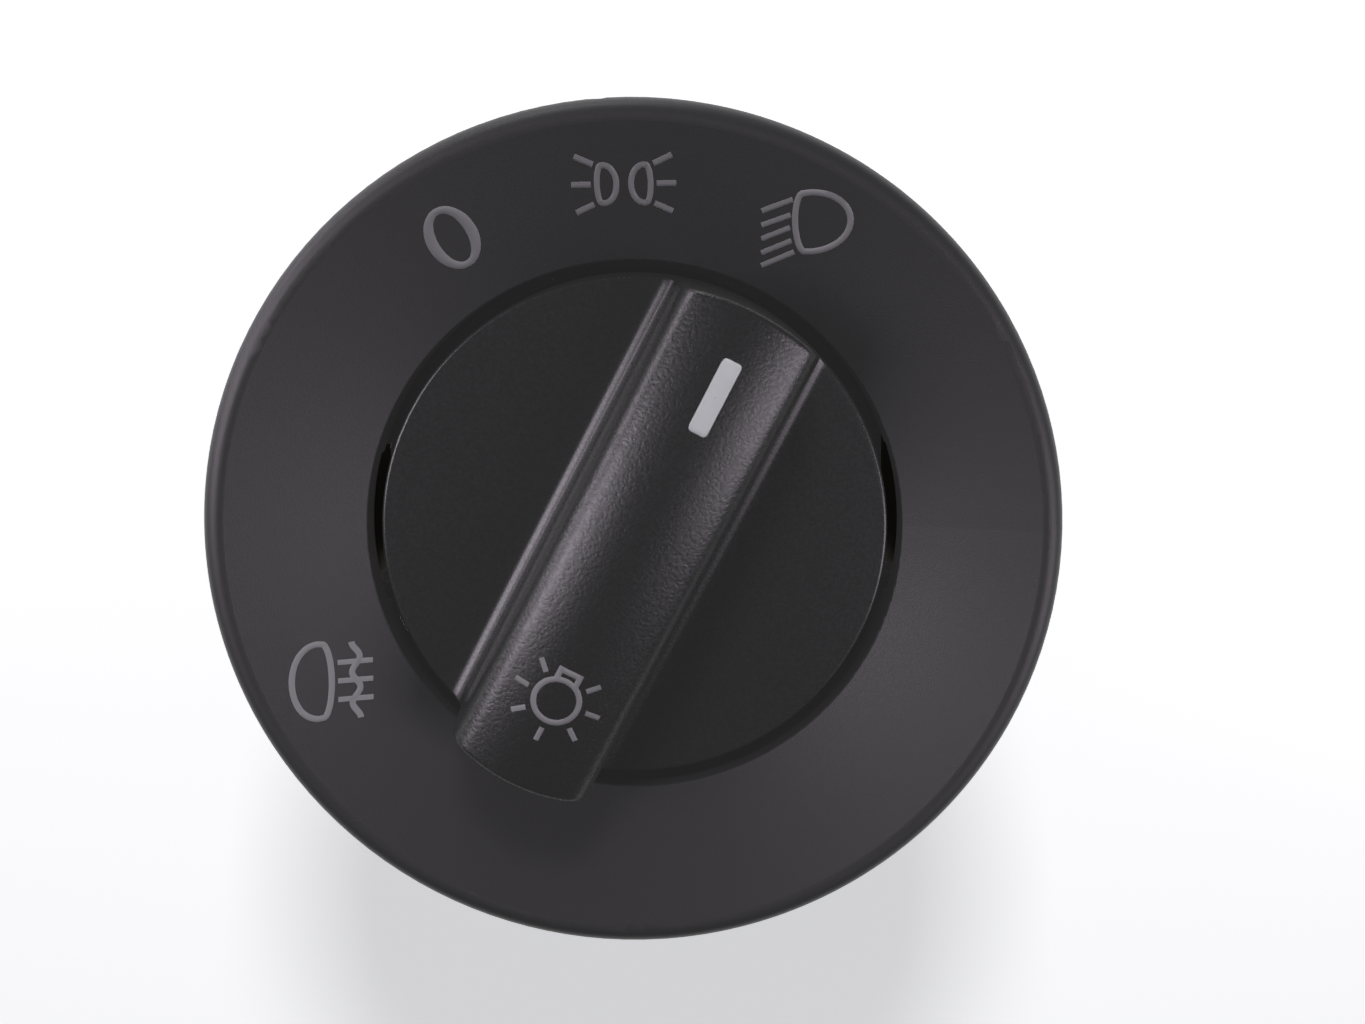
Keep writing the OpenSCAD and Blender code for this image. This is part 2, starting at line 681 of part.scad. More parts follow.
module bar_section(grow) {
    top = bar_h - grow;
    half = bar_w/2 - grow;
    crown = bar_crown_r - grow;
    shoulder = bar_shoulder_r - min(grow, bar_shoulder_r - 0.6);
    off = half - shoulder;
    y = top - crown + sqrt(pow(crown - shoulder, 2) - off*off);
    wedge = atan2(off, y - top + crown);
    polygon([[-half - bar_draft, -3], [-half - bar_draft, 0], [-half, y], [half, y],
        [half + bar_draft, 0], [half + bar_draft, -3]]);
    for (s = [-1, 1]) translate([s*off, y]) circle(r = shoulder);
    intersection() {
        translate([0, top - crown]) circle(r = crown, $fn = 256);
        polygon([[0, top - crown], [-2*crown*sin(wedge), top - crown + 2*crown*cos(wedge)],
            [2*crown*sin(wedge), top - crown + 2*crown*cos(wedge)]]);
    }
    polygon([[-off, y - 1], [off, y - 1], [off, y], [0, top - 0.01], [-off, y]]);
}

// The flare runs off the leaning flank and off the disc without a step
module bar_flare() {
    foot = bar_w/2 + bar_draft;
    lean = atan(bar_draft/(bar_h - bar_shoulder_r));
    c = foot + bar_flare_r*(1 - sin(lean))/cos(lean) - 2*bite;
    touch = [c - bar_flare_r*cos(lean), bar_flare_r*(1 - sin(lean))];
    for (s = [-1, 1]) difference() {
        polygon([[s*(foot - 1), -0.5], [s*c, -0.5], [s*c, 0], [s*touch.x, touch.y],
            [s*(foot - 1), touch.y]]);
        translate([s*c, bar_flare_r]) circle(r = bar_flare_r);
    }
}

module bar_extrusion() {
    translate([-knob_r - 1, 0, disc_z]) rotate([90, 0, 90]) linear_extrude(knob_d + 2) children();
}

// The round blank that the disc and the bar are cut from, with its edge rounded
module knob_blank(r, top, edge) {
    rotate_extrude() {
        translate([0, skirt_z]) square([r, top - edge - skirt_z]);
        translate([0, skirt_z]) square([r - edge, top - skirt_z]);
        translate([r - edge, top - edge]) circle(r = edge);
    }
}

module window_outline(grow) {
    translate([window_in + window_l/2, 0])
        rounded_rect(window_l + 2*grow, window_w + 2*grow, window_corner + grow);
}

module knob() color("#2c2c2e") rotate([0, 0, head_lamp_a]) {
    difference() {
        union() {
            knob_blank(knob_r, disc_z, 0.3);
            intersection() {
                knob_blank(knob_r, disc_z + bar_h, knob_edge_r);
                bar_extrusion() {
                    bar_section(0);
                    bar_flare();
                }
            }
        }
        translate([0, 0, skirt_z - 1])
            cylinder(r = knob_r - knob_wall, h = skirt_h + 1 - knob_wall);
        intersection() {
            bar_extrusion() bar_section(knob_wall);
            translate([0, 0, skirt_z]) cylinder(r = knob_r - knob_wall, h = skirt_h + bar_h);
        }
        linear_extrude(disc_z + bar_h + 1) window_outline(0.05);
    }
    ring(shaft_r + 0.2, shaft_r + 1.35, flange_top, disc_z + bar_h - knob_wall + 0.1);
    ring(clutch_r[1] - 1.2, clutch_r[1], flange_top, disc_z - knob_wall + bite);
}

module knob_carrier() color("#a9a79f") {
    translate([0, 0, shaft_z]) cylinder(r = shaft_r, h = disc_z + 8 - shaft_z);
    translate([0, 0, flange_top - 1.6]) cylinder(r = clutch_r[1], h = 1.6);
    ring(clutch_r[1] - 1.6, clutch_r[1], skirt_z - 1.6, flange_top - 1);
    for (s = [0, 180]) {
        sector(clutch_rest_a + s, clutch_a/2, clutch_r[0], clutch_r[1], release_top + 0.3,
            skirt_z);
        rotate([0, 0, s]) block([-barb.x/2, 0, barb_z - barb.z], [barb.x/2, barb.y, barb_z]);
    }
}

module pointer_light_guide() color("#dfe4e8") rotate([0, 0, head_lamp_a]) {
    translate([0, 0, skirt_z + 0.4]) linear_extrude(disc_z + bar_h - 0.08 - skirt_z - 0.4)
        window_outline(0);
    translate([0, 0, skirt_z + 0.4]) linear_extrude(2) window_outline(0.7);
}

// Release: a disc with spiral slots draws both lugs in by their pins

function spiral_r(a) = lug_pin_x - lug_slope*a*PI/180;
function spiral_side(a, s) =
    let (r = spiral_r(a), t = [-lug_slope*cos(a) - r*sin(a), -lug_slope*sin(a) + r*cos(a)])
    r*[cos(a), sin(a)] + s*[t.y, -t.x]/norm(t);

module spiral_slot() {
    w = lug_pin_r + slide_gap;
    steps = 10;
    angles = [for (i = [0:steps]) release_turn*i/steps];
    linear_extrude(release_t + 2) {
        polygon(concat([for (a = angles) spiral_side(a, w)],
            [for (i = [steps:-1:0]) spiral_side(angles[i], -w)]));
        for (a = [0, release_turn]) rotate(a) translate([spiral_r(a), 0]) circle(r = w);
    }
}

module release_disc() color("#b8b09a") {
    difference() {
        ring(disc_in_r, disc_r, release_z, release_top);
        for (s = [0, 180]) rotate([0, 0, s]) translate([0, 0, release_z - 1]) spiral_slot();
        for (a = [60, 90, 120, 240, 270, 300])
            sector(a, 9, disc_in_r + 3, disc_r - 3, release_z - 1, release_top + 1);
    }
    for (s = [0, 180])
        sector(dog_a + s, clutch_a/2, clutch_r[0] - 0.2, disc_in_r + 0.2, release_z, release_top);
}

// A lug: a sprung plate on the deck, an upright in the collar's window and a nose with a ramp
module lug() {
    half = lug_w/2;
    difference() {
        union() {
            block([lug_in, -half, lug_z], [upright_x + 0.5, half, lug_top]);
            intersection() {
                block([upright_x, -half, lug_z], [collar_r, half, catch_z]);
                translate([0, 0, lug_z]) cylinder(r = back_r - 0.1, h = catch_z - lug_z);
            }
            intersection() {
                translate([0, half, 0]) rotate([90, 0, 0]) linear_extrude(lug_w)
                    polygon([[upright_x, catch_z], [nose_out, catch_z - 0.1],
                        [nose_out, catch_z - 1.1], [back_r - 0.4, catch_z - 6],
                        [upright_x, catch_z - 6]]);
                translate([lug_travel, 0, catch_z - 7]) cylinder(r = back_r - 0.1, h = 8);
            }
        }
        for (y = [-1, 1]) translate([0, y*spring_y, 0])
            block([spring_slot[0], -1.2, lug_z - 1], [spring_slot[1], 1.2, lug_top + 1]);
    }
    translate([lug_pin_x, 0, lug_top - bite])
        cylinder(r = lug_pin_r, h = release_top - lug_top - 0.1);
}

module lug_right() color("#8f8c84") lug();
module lug_left() color("#8f8c84") rotate([0, 0, 180]) lug();

module lug_springs() color("#b9bcc0") {
    wire = 0.32;
    low = post_x[1] + wire/2 + 0.02;
    for (y = [-1, 1]) translate([low, y*spring_y, (lug_z + lug_top)/2]) rotate([0, 90, 0])
        coil(lug_t/2 - wire/2 - 0.05, spring_slot[1] - low - wire/2 - 0.02, 6, wire, 8);
}

module lug_springs_right() lug_springs();
module lug_springs_left() rotate([0, 0, 180]) lug_springs();

bezel();
symbol_light_guide();
fog_light_guide();
light_board();
led_off();
led_side();
led_head();
led_fog();
pointer_led_1();
pointer_led_2();
pointer_led_3();
board_resistors();
board_pins();
housing();
detent_spring();
contact_plate();
terminal_supply();
terminal_side();
terminal_off();
terminal_head();
terminal_day();
terminal_fog_in();
terminal_fog_out();
terminal_dimmer();
terminal_ground();
connector_base();
rotor();
side_bridge();
head_bridge();
detent_clip();
pull_slider();
fog_bridge();
return_spring();
knob();
knob_carrier();
pointer_light_guide();
release_disc();
lug_right();
lug_left();
lug_springs_right();
lug_springs_left();
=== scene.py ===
"""Headlight switch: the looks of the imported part, its stage, its lights and its camera.

Lengths are in millimetres here and are turned into metres by MM as a mesh is made. The frame is the
part's own: the origin is the centre of the collar in the panel's plane, +Z points out to the driver
and +Y points up the dashboard.
"""

import math

import bpy
import numpy as np
from bpy.props import FloatProperty, FloatVectorProperty, PointerProperty
from mathutils import Matrix, Vector


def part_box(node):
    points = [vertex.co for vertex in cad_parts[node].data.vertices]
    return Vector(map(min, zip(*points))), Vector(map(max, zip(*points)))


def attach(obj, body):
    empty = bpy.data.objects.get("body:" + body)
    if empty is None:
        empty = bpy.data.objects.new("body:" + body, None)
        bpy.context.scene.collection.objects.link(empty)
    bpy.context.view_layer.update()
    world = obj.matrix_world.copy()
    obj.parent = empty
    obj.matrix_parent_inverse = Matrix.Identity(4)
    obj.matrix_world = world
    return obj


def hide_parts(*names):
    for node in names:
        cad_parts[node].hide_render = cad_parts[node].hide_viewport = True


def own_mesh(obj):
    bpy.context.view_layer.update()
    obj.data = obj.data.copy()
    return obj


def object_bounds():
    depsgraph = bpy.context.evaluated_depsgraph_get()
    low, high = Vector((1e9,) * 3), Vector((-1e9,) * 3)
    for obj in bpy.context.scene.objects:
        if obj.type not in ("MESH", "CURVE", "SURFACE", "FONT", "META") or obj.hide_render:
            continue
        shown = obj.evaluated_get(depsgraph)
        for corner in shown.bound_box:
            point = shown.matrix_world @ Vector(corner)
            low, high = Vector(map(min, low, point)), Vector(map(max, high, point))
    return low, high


bl_info = {
    "name": "Headlight Switch",
    "version": (1, 0, 0),
    "blender": (4, 5, 0),
    "location": "3D View > Sidebar > Headlight Switch",
    "description": "Dresses a dashboard headlight switch and sets its studio",
    "category": "Object",
}

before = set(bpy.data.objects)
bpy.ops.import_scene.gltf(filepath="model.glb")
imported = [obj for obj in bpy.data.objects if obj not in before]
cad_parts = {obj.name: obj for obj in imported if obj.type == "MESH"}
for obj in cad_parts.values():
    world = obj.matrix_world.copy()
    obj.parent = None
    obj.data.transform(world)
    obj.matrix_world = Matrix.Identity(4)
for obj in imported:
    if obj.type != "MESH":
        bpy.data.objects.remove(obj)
CAD_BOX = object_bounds()
MM = 0.001

KNOB_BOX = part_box("knob")
KNOB_R = KNOB_BOX[1].x / MM
SKIRT_Z = KNOB_BOX[0].z / MM
BAR_TOP_Z = KNOB_BOX[1].z / MM
DISC_Z = -0.1
# The photographed knob stands a degree past its headlamp place
BAR_ANGLE = math.radians(61.5)
RIM_R = 1.5
RIM_CENTRE = (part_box("bezel")[1].x / MM - RIM_R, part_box("bezel")[1].z / MM - RIM_R)
DISH_R = KNOB_R + 1.3
KNOB_BODY, ROOT_BODY = "knob", "switch_body"


# Colour


def linear(hex_colour):
    """The linear colour of an sRGB hex value, by the sRGB curve: c/12.92 below 0.04045, else ((c + 0.055)/1.055)^2.4."""
    code = hex_colour.lstrip("#")
    c = np.array([int(code[i : i + 2], 16) for i in (0, 2, 4)]) / 255
    c = np.where(c <= 0.04045, c / 12.92, ((c + 0.055) / 1.055) ** 2.4)
    return (float(c[0]), float(c[1]), float(c[2]), 1.0)


def tint(name, text, hex_colour):
    return FloatVectorProperty(
        name=name,
        description=text,
        subtype="COLOR",
        size=4,
        min=0,
        max=1,
        default=linear(hex_colour),
    )


def length(name, text, default, low=0.0, high=100.0):
    return FloatProperty(
        name=name,
        description=text + ", in millimetres",
        default=default,
        min=low,
        max=high,
    )


# What a user would change


class KnobShape(bpy.types.PropertyGroup):
    bar_width: length("Bar width", "Width of the grip bar at its shoulders", 13.4, 10, 15)
    bar_draft: length("Bar draft", "Extra half width where the bar meets the disc", 0.3, 0, 1)
    crown_radius: length("Crown radius", "Radius of the bar's crowned top", 16, 12, 40)
    shoulder_radius: length("Shoulder radius", "Radius of the bar's shoulders", 2.8, 1, 4)
    arch_radius: length("Arch radius", "Radius of the bar's top along its length", 190, 100, 2000)
    flare_radius: length("Flare radius", "Radius from the bar's flank to the disc", 1.6, 1, 4)
    disc_edge: length("Disc edge", "Rounding of the disc's edge", 0.3, 0.1, 1)
    bar_edge: length("Bar edge", "Rounding of the bar's ends", 0.6, 0.2, 1.5)
    wall: length("Wall", "Wall of the knob's moulding", 1.6, 1, 2.5)
    window_in: length("Window start", "Inner end of the window, from the axis", 12, 8, 14)
    window_length: length("Window length", "Length of the pointer window", 7, 4, 8)
    window_width: length("Window width", "Width of the pointer window", 1.9, 1, 3)
    window_corner: length("Window corner", "Corner radius of the window", 0.45, 0.1, 0.7)


class PrintShape(bpy.types.PropertyGroup):
    stroke: length("Stroke", "Width of a printed line", 0.52, 0.2, 1)
    thickness: length("Thickness", "How far the ink stands off the moulding", 0.02, 0.005, 0.1)
    zero_tilt: FloatProperty(
        name="Zero tilt",
        description="Turn of the off symbol from upright",
        subtype="ANGLE",
        default=math.radians(26),
    )


class FinishColours(bpy.types.PropertyGroup):
    bezel: tint("Bezel", "Grained moulding of the bezel", "#1f1e21")
    knob: tint("Knob", "Moulding of the knob", "#18181a")
    ink: tint("Ink", "Printed symbols", "#99959c")
    window: tint("Window", "Opal pointer window", "#e4e3e9")
    housing: tint("Housing", "Glass-filled nylon housing", "#19191b")
    cap: tint("Cap", "Connector base", "#1f1f22")
    acetal: tint("Acetal", "Slider, carrier and rotor", "#b9b6ab")
    lug: tint("Lugs", "Retaining lugs", "#85827a")
    plate: tint("Plate", "Contact plate", "#6b5f4a")
    board: tint("Board", "Solder mask of the light board", "#101412")
    brass: tint("Contacts", "Terminals and tracks", "#c9a85a")
    bronze: tint("Bridges", "Contact bridges", "#c98a55")
    steel: tint("Springs", "Spring wire and leaf", "#b4b6b8")
    floor: tint("Floor", "Studio floor", "#f5f5f6")


class StudioSettings(bpy.types.PropertyGroup):
    lens: FloatProperty(
        name="Lens",
        description="Focal length on a 36 mm wide sensor",
        default=44.26,
        min=20,
        max=120,
        subtype="DISTANCE_CAMERA",
    )
    distance: length("Distance", "From the camera to the point it turns about", 154.385, 80, 400)
    turn_height: length("Turn height", "Height of that point over the panel", 1.7, -10, 20)
    roll: FloatProperty(
        name="Roll",
        description="Turn of the part in the picture",
        subtype="ANGLE",
        default=math.radians(-1.4),
    )
    left_power: FloatProperty(name="Left", description="Power of the left softbox", default=1.3, min=0, max=50, unit="POWER")
    right_power: FloatProperty(name="Right", description="Power of the right softbox", default=0.9, min=0, max=50, unit="POWER")
    strip_power: FloatProperty(name="Strip", description="Power of the low strip on the left, twice that of the one behind", default=0.6, min=0, max=50, unit="POWER")
    back_power: FloatProperty(name="Back", description="Power of the lamp behind that lights the floor", default=2.4, min=0, max=50, unit="POWER")
    floor_glow: FloatProperty(name="Floor glow", description="Strength of the floor's own light", default=0.6, min=0, max=3)
    # Strength of a faint white glow painted on the black plastics, standing in for lens scatter from the white floor
    painted_glow_strength: FloatProperty(name="Veil", description="Light that the lens scatters from the white floor over the blacks", default=0.014, min=0, max=0.1)


# Meshes worked out as whole arrays


def grid_faces(rows, cols, offset=0, closed_rows=False, closed_cols=False, keep=None):
    """Quads of a grid of rows x cols points: (i, j), (i, j+1), (i+1, j+1), (i+1, j), wrapped where a direction is closed."""
    i = np.arange(rows if closed_rows else rows - 1)
    j = np.arange(cols if closed_cols else cols - 1)
    i, j = np.meshgrid(i, j, indexing="ij")
    if keep is not None:
        i, j = i[keep(i, j)], j[keep(i, j)]
    i, j = i.ravel(), j.ravel()
    k, m = (i + 1) % rows, (j + 1) % cols
    return offset + np.stack([i * cols + j, i * cols + m, k * cols + m, k * cols + j], 1)


def strip_faces(a, b, closed=True):
    """Quads between two loops of vertex numbers of the same length."""
    a, b = np.asarray(a), np.asarray(b)
    c, d = np.roll(a, -1), np.roll(b, -1)
    quads = np.stack([a, c, d, b], 1)
    return quads if closed else quads[:-1]


def weld(points, faces, near=1e-4):
    """Points closer than near become one, and a quad that has lost a corner becomes a triangle, or goes."""
    key = np.round(points / near).astype(np.int64)
    _, first, back = np.unique(key, axis=0, return_index=True, return_inverse=True)
    faces = back.reshape(-1)[faces]
    same = faces == np.roll(faces, -1, axis=1)
    whole = faces[~same.any(1)]
    bent = faces[same.sum(1) == 1]
    spot = np.argmax(bent == np.roll(bent, -1, axis=1), axis=1)
    keep = (spot[:, None] + np.arange(1, 4)) % 4
    bent = np.take_along_axis(bent, keep, axis=1)
    return points[first], whole, bent


def make_mesh(name, points, faces, sharp=None):
    """A smooth object of these points, in millimetres, and quads, with its place in its mesh and its object at the origin."""
    points, quads, triangles = weld(np.asarray(points, float), np.asarray(faces))
    mesh = bpy.data.meshes.new(name)
    mesh.vertices.add(len(points))
    mesh.vertices.foreach_set("co", (points * MM).astype(np.float32).ravel())
    corners = np.concatenate([quads.ravel(), triangles.ravel()])
    sizes = np.r_[np.full(len(quads), 4), np.full(len(triangles), 3)]
    mesh.loops.add(len(corners))
    mesh.loops.foreach_set("vertex_index", corners.astype(np.int32))
    mesh.polygons.add(len(sizes))
    mesh.polygons.foreach_set("loop_start", (np.cumsum(sizes) - sizes).astype(np.int32))
    mesh.polygons.foreach_set("use_smooth", np.ones(len(sizes), bool))
    mesh.update(calc_edges=True)
    mesh.validate()
    if sharp is not None:
        mesh.set_sharp_from_angle(angle=math.radians(sharp))
    thing = bpy.data.objects.new(name, mesh)
    bpy.context.scene.collection.objects.link(thing)
    return thing


def turned(points, angle):
    """Points turned about Z by an angle."""
    c, s = math.cos(angle), math.sin(angle)
    x, y = points[..., 0], points[..., 1]
    return np.stack([c * x - s * y, s * x + c * y, points[..., 2]], -1)


def arc(centre, radius, start, end, count):
    """Points and outward normals on an arc, in degrees."""
    t = np.radians(np.linspace(start, end, count))
    n = np.stack([np.cos(t), np.sin(t)], 1)
    return np.asarray(centre) + radius * n, n


def arched(shape, u, z):
    """Heights over the disc shrink by 1 - u^2/(2*arch*bar height) at u along the bar, so its top is an arc of the arch's radius."""
    return DISC_Z + (z - DISC_Z) * (1 - u**2 / (2 * shape.arch_radius * (BAR_TOP_Z - DISC_Z)))


def bar_profile(shape, grow):
    """The knob's top in section across the bar, from one edge of the disc to the other, as points (v, z) and outward normals.

    A flat disc, a hollow arc that leaves it and meets the drafted flank, the flank, a round shoulder, the crown of a
    large circle, and the same mirrored. grow moves every line inwards, for the inner face of the moulding.
    """
    half, crown, shoulder = shape.bar_width / 2, shape.crown_radius, shape.shoulder_radius
    flare = shape.flare_radius
    bar_h = BAR_TOP_Z - DISC_Z
    off = half - shoulder
    lift = bar_h - crown + math.sqrt((crown - shoulder) ** 2 - off**2)
    lean = math.atan2(shape.bar_draft, lift)
    wedge = math.degrees(math.atan2(off, lift - bar_h + crown))
    foot = half + shape.bar_draft
    flare_v = foot - flare * math.tan(lean) + flare / math.cos(lean)
    lean_deg = math.degrees(lean)
    hollow, hollow_n = arc((flare_v, flare), flare, 270, 180 + lean_deg, 14)
    side, side_n = arc((off, lift), shoulder, lean_deg, 90 - wedge, 16)
    top, top_n = arc((0, bar_h - crown), crown, 90 - wedge, 90, 21)
    steps = np.linspace(0, 1, 12)[1:-1, None]
    flank = hollow[-1] * (1 - steps) + side[0] * steps
    flank_n = np.repeat([[math.cos(lean), math.sin(lean)]], len(steps), 0)
    v = KNOB_R * np.sin(np.linspace(math.pi / 2, math.asin(flare_v / KNOB_R), 40))[:-1]
    disc = np.stack([v, np.zeros_like(v)], 1)
    disc_n = np.repeat([[0.0, 1.0]], len(v), 0)
    points = np.concatenate([disc, hollow, flank, side, top[1:]])
    normals = np.concatenate([disc_n, -hollow_n, flank_n, side_n, top_n[1:]])
    points = np.concatenate([points, (points * [-1, 1])[-2::-1]])
    normals = np.concatenate([normals, (normals * [-1, 1])[-2::-1]])
    return points[::-1] - grow * normals[::-1], normals[::-1]


def window_loop(shape, grow=0.0, count=6):
    """The pointer window's outline: a rectangle along the bar with rounded corners, counter-clockwise."""
    r = shape.window_corner + grow
    u0, u1 = shape.window_in - grow, shape.window_in + shape.window_length + grow
    h = shape.window_width / 2 + grow
    corners = [(u1 - r, h - r, 0), (u0 + r, h - r, 90), (u0 + r, -h + r, 180), (u1 - r, -h + r, 270)]
    return np.concatenate([arc((u, v), r, a, a + 90, count)[0] for u, v, a in corners])


def knob_skin(shape, radius, grow, edge_disc, edge_bar, lowest):
    """One face of the knob's moulding as a grid of points, and the row where its top starts.

    The section (v, z) is carried along the bar, with u = s * sqrt(radius^2 - v^2) and s from -1 to 1, so that every
    line ends on the knob's cylinder. At both ends a quarter turn from the section's normal to the cylinder's makes the
    rounded edge, and straight lines go down the skirt.
    """
    section, normal = bar_profile(shape, grow)
    cols = len(section)
    high = np.clip((section[:, 1] - 0.2) / 2.5, 0, 1)
    edge = edge_disc + (edge_bar - edge_disc) * high * high * (3 - 2 * high)
    inner = section - edge[:, None] * normal
    v = np.clip(inner[:, 0], -(radius - edge), radius - edge)
    reach = np.sqrt(np.maximum((radius - edge) ** 2 - v**2, 0))
    tight = 1 - np.linspace(1, 0, 9)[:-1] ** 2
    s = np.concatenate([-1 + 0.12 * tight, np.linspace(-0.88, 0.88, 70), 1 - 0.12 * tight[::-1]])
    u = s[:, None] * reach[None, :]
    top = np.stack([u, np.broadcast_to(section[:, 0], u.shape), arched(shape, u, section[None, :, 1] + DISC_Z)], -1)
    top[..., 1] = np.where(np.abs(section[:, 0]) > radius - edge, np.sign(section[:, 0]) * (radius - edge), section[:, 0])
    rounds = []
    for side in (-1, 1):
        away = np.stack([side * reach, v, np.zeros(cols)], -1)
        away /= np.maximum(np.linalg.norm(away, axis=-1, keepdims=True), 1e-9)
        up = np.stack([np.zeros(cols), normal[:, 0], normal[:, 1]], -1)
        centre = np.stack([side * reach, v, arched(shape, reach, section[:, 1] + DISC_Z) - edge * normal[:, 1]], -1)
        turn = np.linspace(0, 1, 7)[1:, None, None] * (math.pi / 2)
        across = away - (away * up).sum(-1, keepdims=True) * up
        across /= np.maximum(np.linalg.norm(across, axis=-1, keepdims=True), 1e-9)
        full = np.arccos(np.clip((away * up).sum(-1), -1, 1))[None, :, None] / (math.pi / 2)
        rounds.append(centre + edge[:, None] * (np.cos(turn * full) * up + np.sin(turn * full) * across))
    walls = []
    for ring in (rounds[0][-1], rounds[1][-1]):
        drop = np.linspace(0, 1, 6)[1:, None]
        z = ring[:, 2] * (1 - drop) + lowest * drop
        walls.append(np.stack([np.broadcast_to(ring[:, 0], z.shape), np.broadcast_to(ring[:, 1], z.shape), z], -1))
    points = np.concatenate([walls[0][::-1], rounds[0][::-1], top, rounds[1], walls[1]])
    first = len(walls[0]) + len(rounds[0])
    return points, first


def cut_window(shape, points, first):
    """Moves the grid's lines round the window on to its outline, and gives the outline's rows and columns."""
    mid = points.shape[1] // 2
    col_u = points[:, mid, 0].copy()
    rows = np.arange(len(points))
    inside = (rows >= first) & (rows < len(points) - first)
    u0, u1 = shape.window_in, shape.window_in + shape.window_length
    r0 = rows[inside][np.argmin(np.abs(col_u[inside] - u0))]
    r1 = rows[inside][np.argmin(np.abs(col_u[inside] - u1))]
    v = points[len(points) // 2, :, 1]
    h = shape.window_width / 2
    c0, c1 = int(np.argmin(np.abs(v + h))), int(np.argmin(np.abs(v - h)))
    crown = shape.crown_radius
    corner = shape.window_corner
    block = points[r0 : r1 + 1, c0 : c1 + 1].copy()
    rr, cc = block.shape[:2]
    u = np.linspace(u0, u1, rr)[:, None] * np.ones(cc)
    w = np.linspace(-h, h, cc)[None, :] * np.ones((rr, 1))
    mu, mv = (u0 + u1) / 2, 0.0
    au, av = (u1 - u0) / 2 - corner, h - corner
    du, dv = np.clip(u - mu, -au, au), np.clip(w - mv, -av, av)
    eu, ev = u - mu - du, w - mv - dv
    far = np.maximum(np.abs(eu), np.abs(ev))
    scale = np.where(far > 1e-9, far / np.maximum(np.hypot(eu, ev), 1e-9), 1)
    u, w = mu + du + eu * scale, mv + dv + ev * scale
    grown = points[len(points) // 2, mid, 2]
    depth = BAR_TOP_Z - grown
    z = arched(shape, u, BAR_TOP_Z - crown + np.sqrt((crown - depth) ** 2 - w**2))
    points[r0 : r1 + 1, c0 : c1 + 1] = np.stack([u, w, z], -1)
    return r0, r1, c0, c1


def window_rim(cols, r0, r1, c0, c1):
    """The window's outline as vertex numbers of the grid, once round."""
    a = [(r0, c) for c in range(c0, c1)] + [(r, c1) for r in range(r0, r1)]
    b = [(r1, c) for c in range(c1, c0, -1)] + [(r, c0) for r in range(r1, r0, -1)]
    loop = np.array(a + b)
    return loop[:, 0] * cols + loop[:, 1]


def knob_moulding(shape):
    """The knob as one shell: its outer face, its inner face a wall further in, the rim that joins them at the foot of the skirt, and the window's sides."""
    outer, first = knob_skin(shape, KNOB_R, 0, shape.disc_edge, shape.bar_edge, SKIRT_Z)
    inner, _ = knob_skin(shape, KNOB_R - shape.wall, shape.wall, 0.25, 0.25, SKIRT_Z)
    spot = cut_window(shape, outer, first)
    rows, cols = outer.shape[:2]
    r0, r1, c0, c1 = spot
    inner[r0 : r1 + 1, c0 : c1 + 1, :2] = outer[r0 : r1 + 1, c0 : c1 + 1, :2]
    open_window = lambda i, j: ~((i >= r0) & (i < r1) & (j >= c0) & (j < c1))
    count = rows * cols
    faces = [
        grid_faces(rows, cols, 0, keep=open_window),
        grid_faces(rows, cols, count, keep=open_window)[:, ::-1],
    ]
    rim = window_rim(cols, *spot)
    faces.append(strip_faces(rim, rim + count))
    for row in (0, rows - 1):
        line = row * cols + np.arange(cols)
        quads = strip_faces(line, line + count, closed=False)
        faces.append(quads if row else quads[:, ::-1])
    points = np.concatenate([outer.reshape(-1, 3), inner.reshape(-1, 3)])
    return turned(points, BAR_ANGLE), np.concatenate(faces)


def pointer_rod(shape):
    """The pointer's light guide: the window's outline carried down from the crown to the skirt, with a foot, and a cap that follows the crown."""
    outline = window_loop(shape, -0.04, 7)
    wide = window_loop(shape, 0.66, 7)
    centre = outline.mean(0)
    n = len(outline)
    crown = lambda p: arched(shape, p[:, 0], BAR_TOP_Z - shape.crown_radius + np.sqrt(shape.crown_radius**2 - p[:, 1] ** 2))
    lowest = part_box("pointer_light_guide")[0].z / MM
    loops = []
    for share in (0.02, 0.3, 0.6, 0.85, 0.96):
        ring = centre + (outline - centre) * share
        loops.append(np.c_[ring, crown(ring) - 0.06])
    loops.append(np.c_[outline, crown(outline) - 0.11])
    for ring, z in ((outline, 9.0), (outline, 2.0), (outline, lowest + 2.1), (wide, lowest + 2.0), (wide, lowest + 1.9), (wide, lowest)):
        loops.append(np.c_[ring, np.full(n, z)])
    for share in (0.5, 0.02):
        loops.append(np.c_[centre + (wide - centre) * share, np.full(n, lowest)])
    points = np.array(loops)
    rows = len(points)
    faces = grid_faces(rows, n, closed_cols=True)[:, ::-1]
    return turned(points.reshape(-1, 3), BAR_ANGLE), faces


# Printed symbols: lines of ink laid on a surface


def straight(a, b):
    return np.asarray(a) + (np.asarray(b, float) - np.asarray(a)) * np.linspace(0, 1, 7)[:, None]


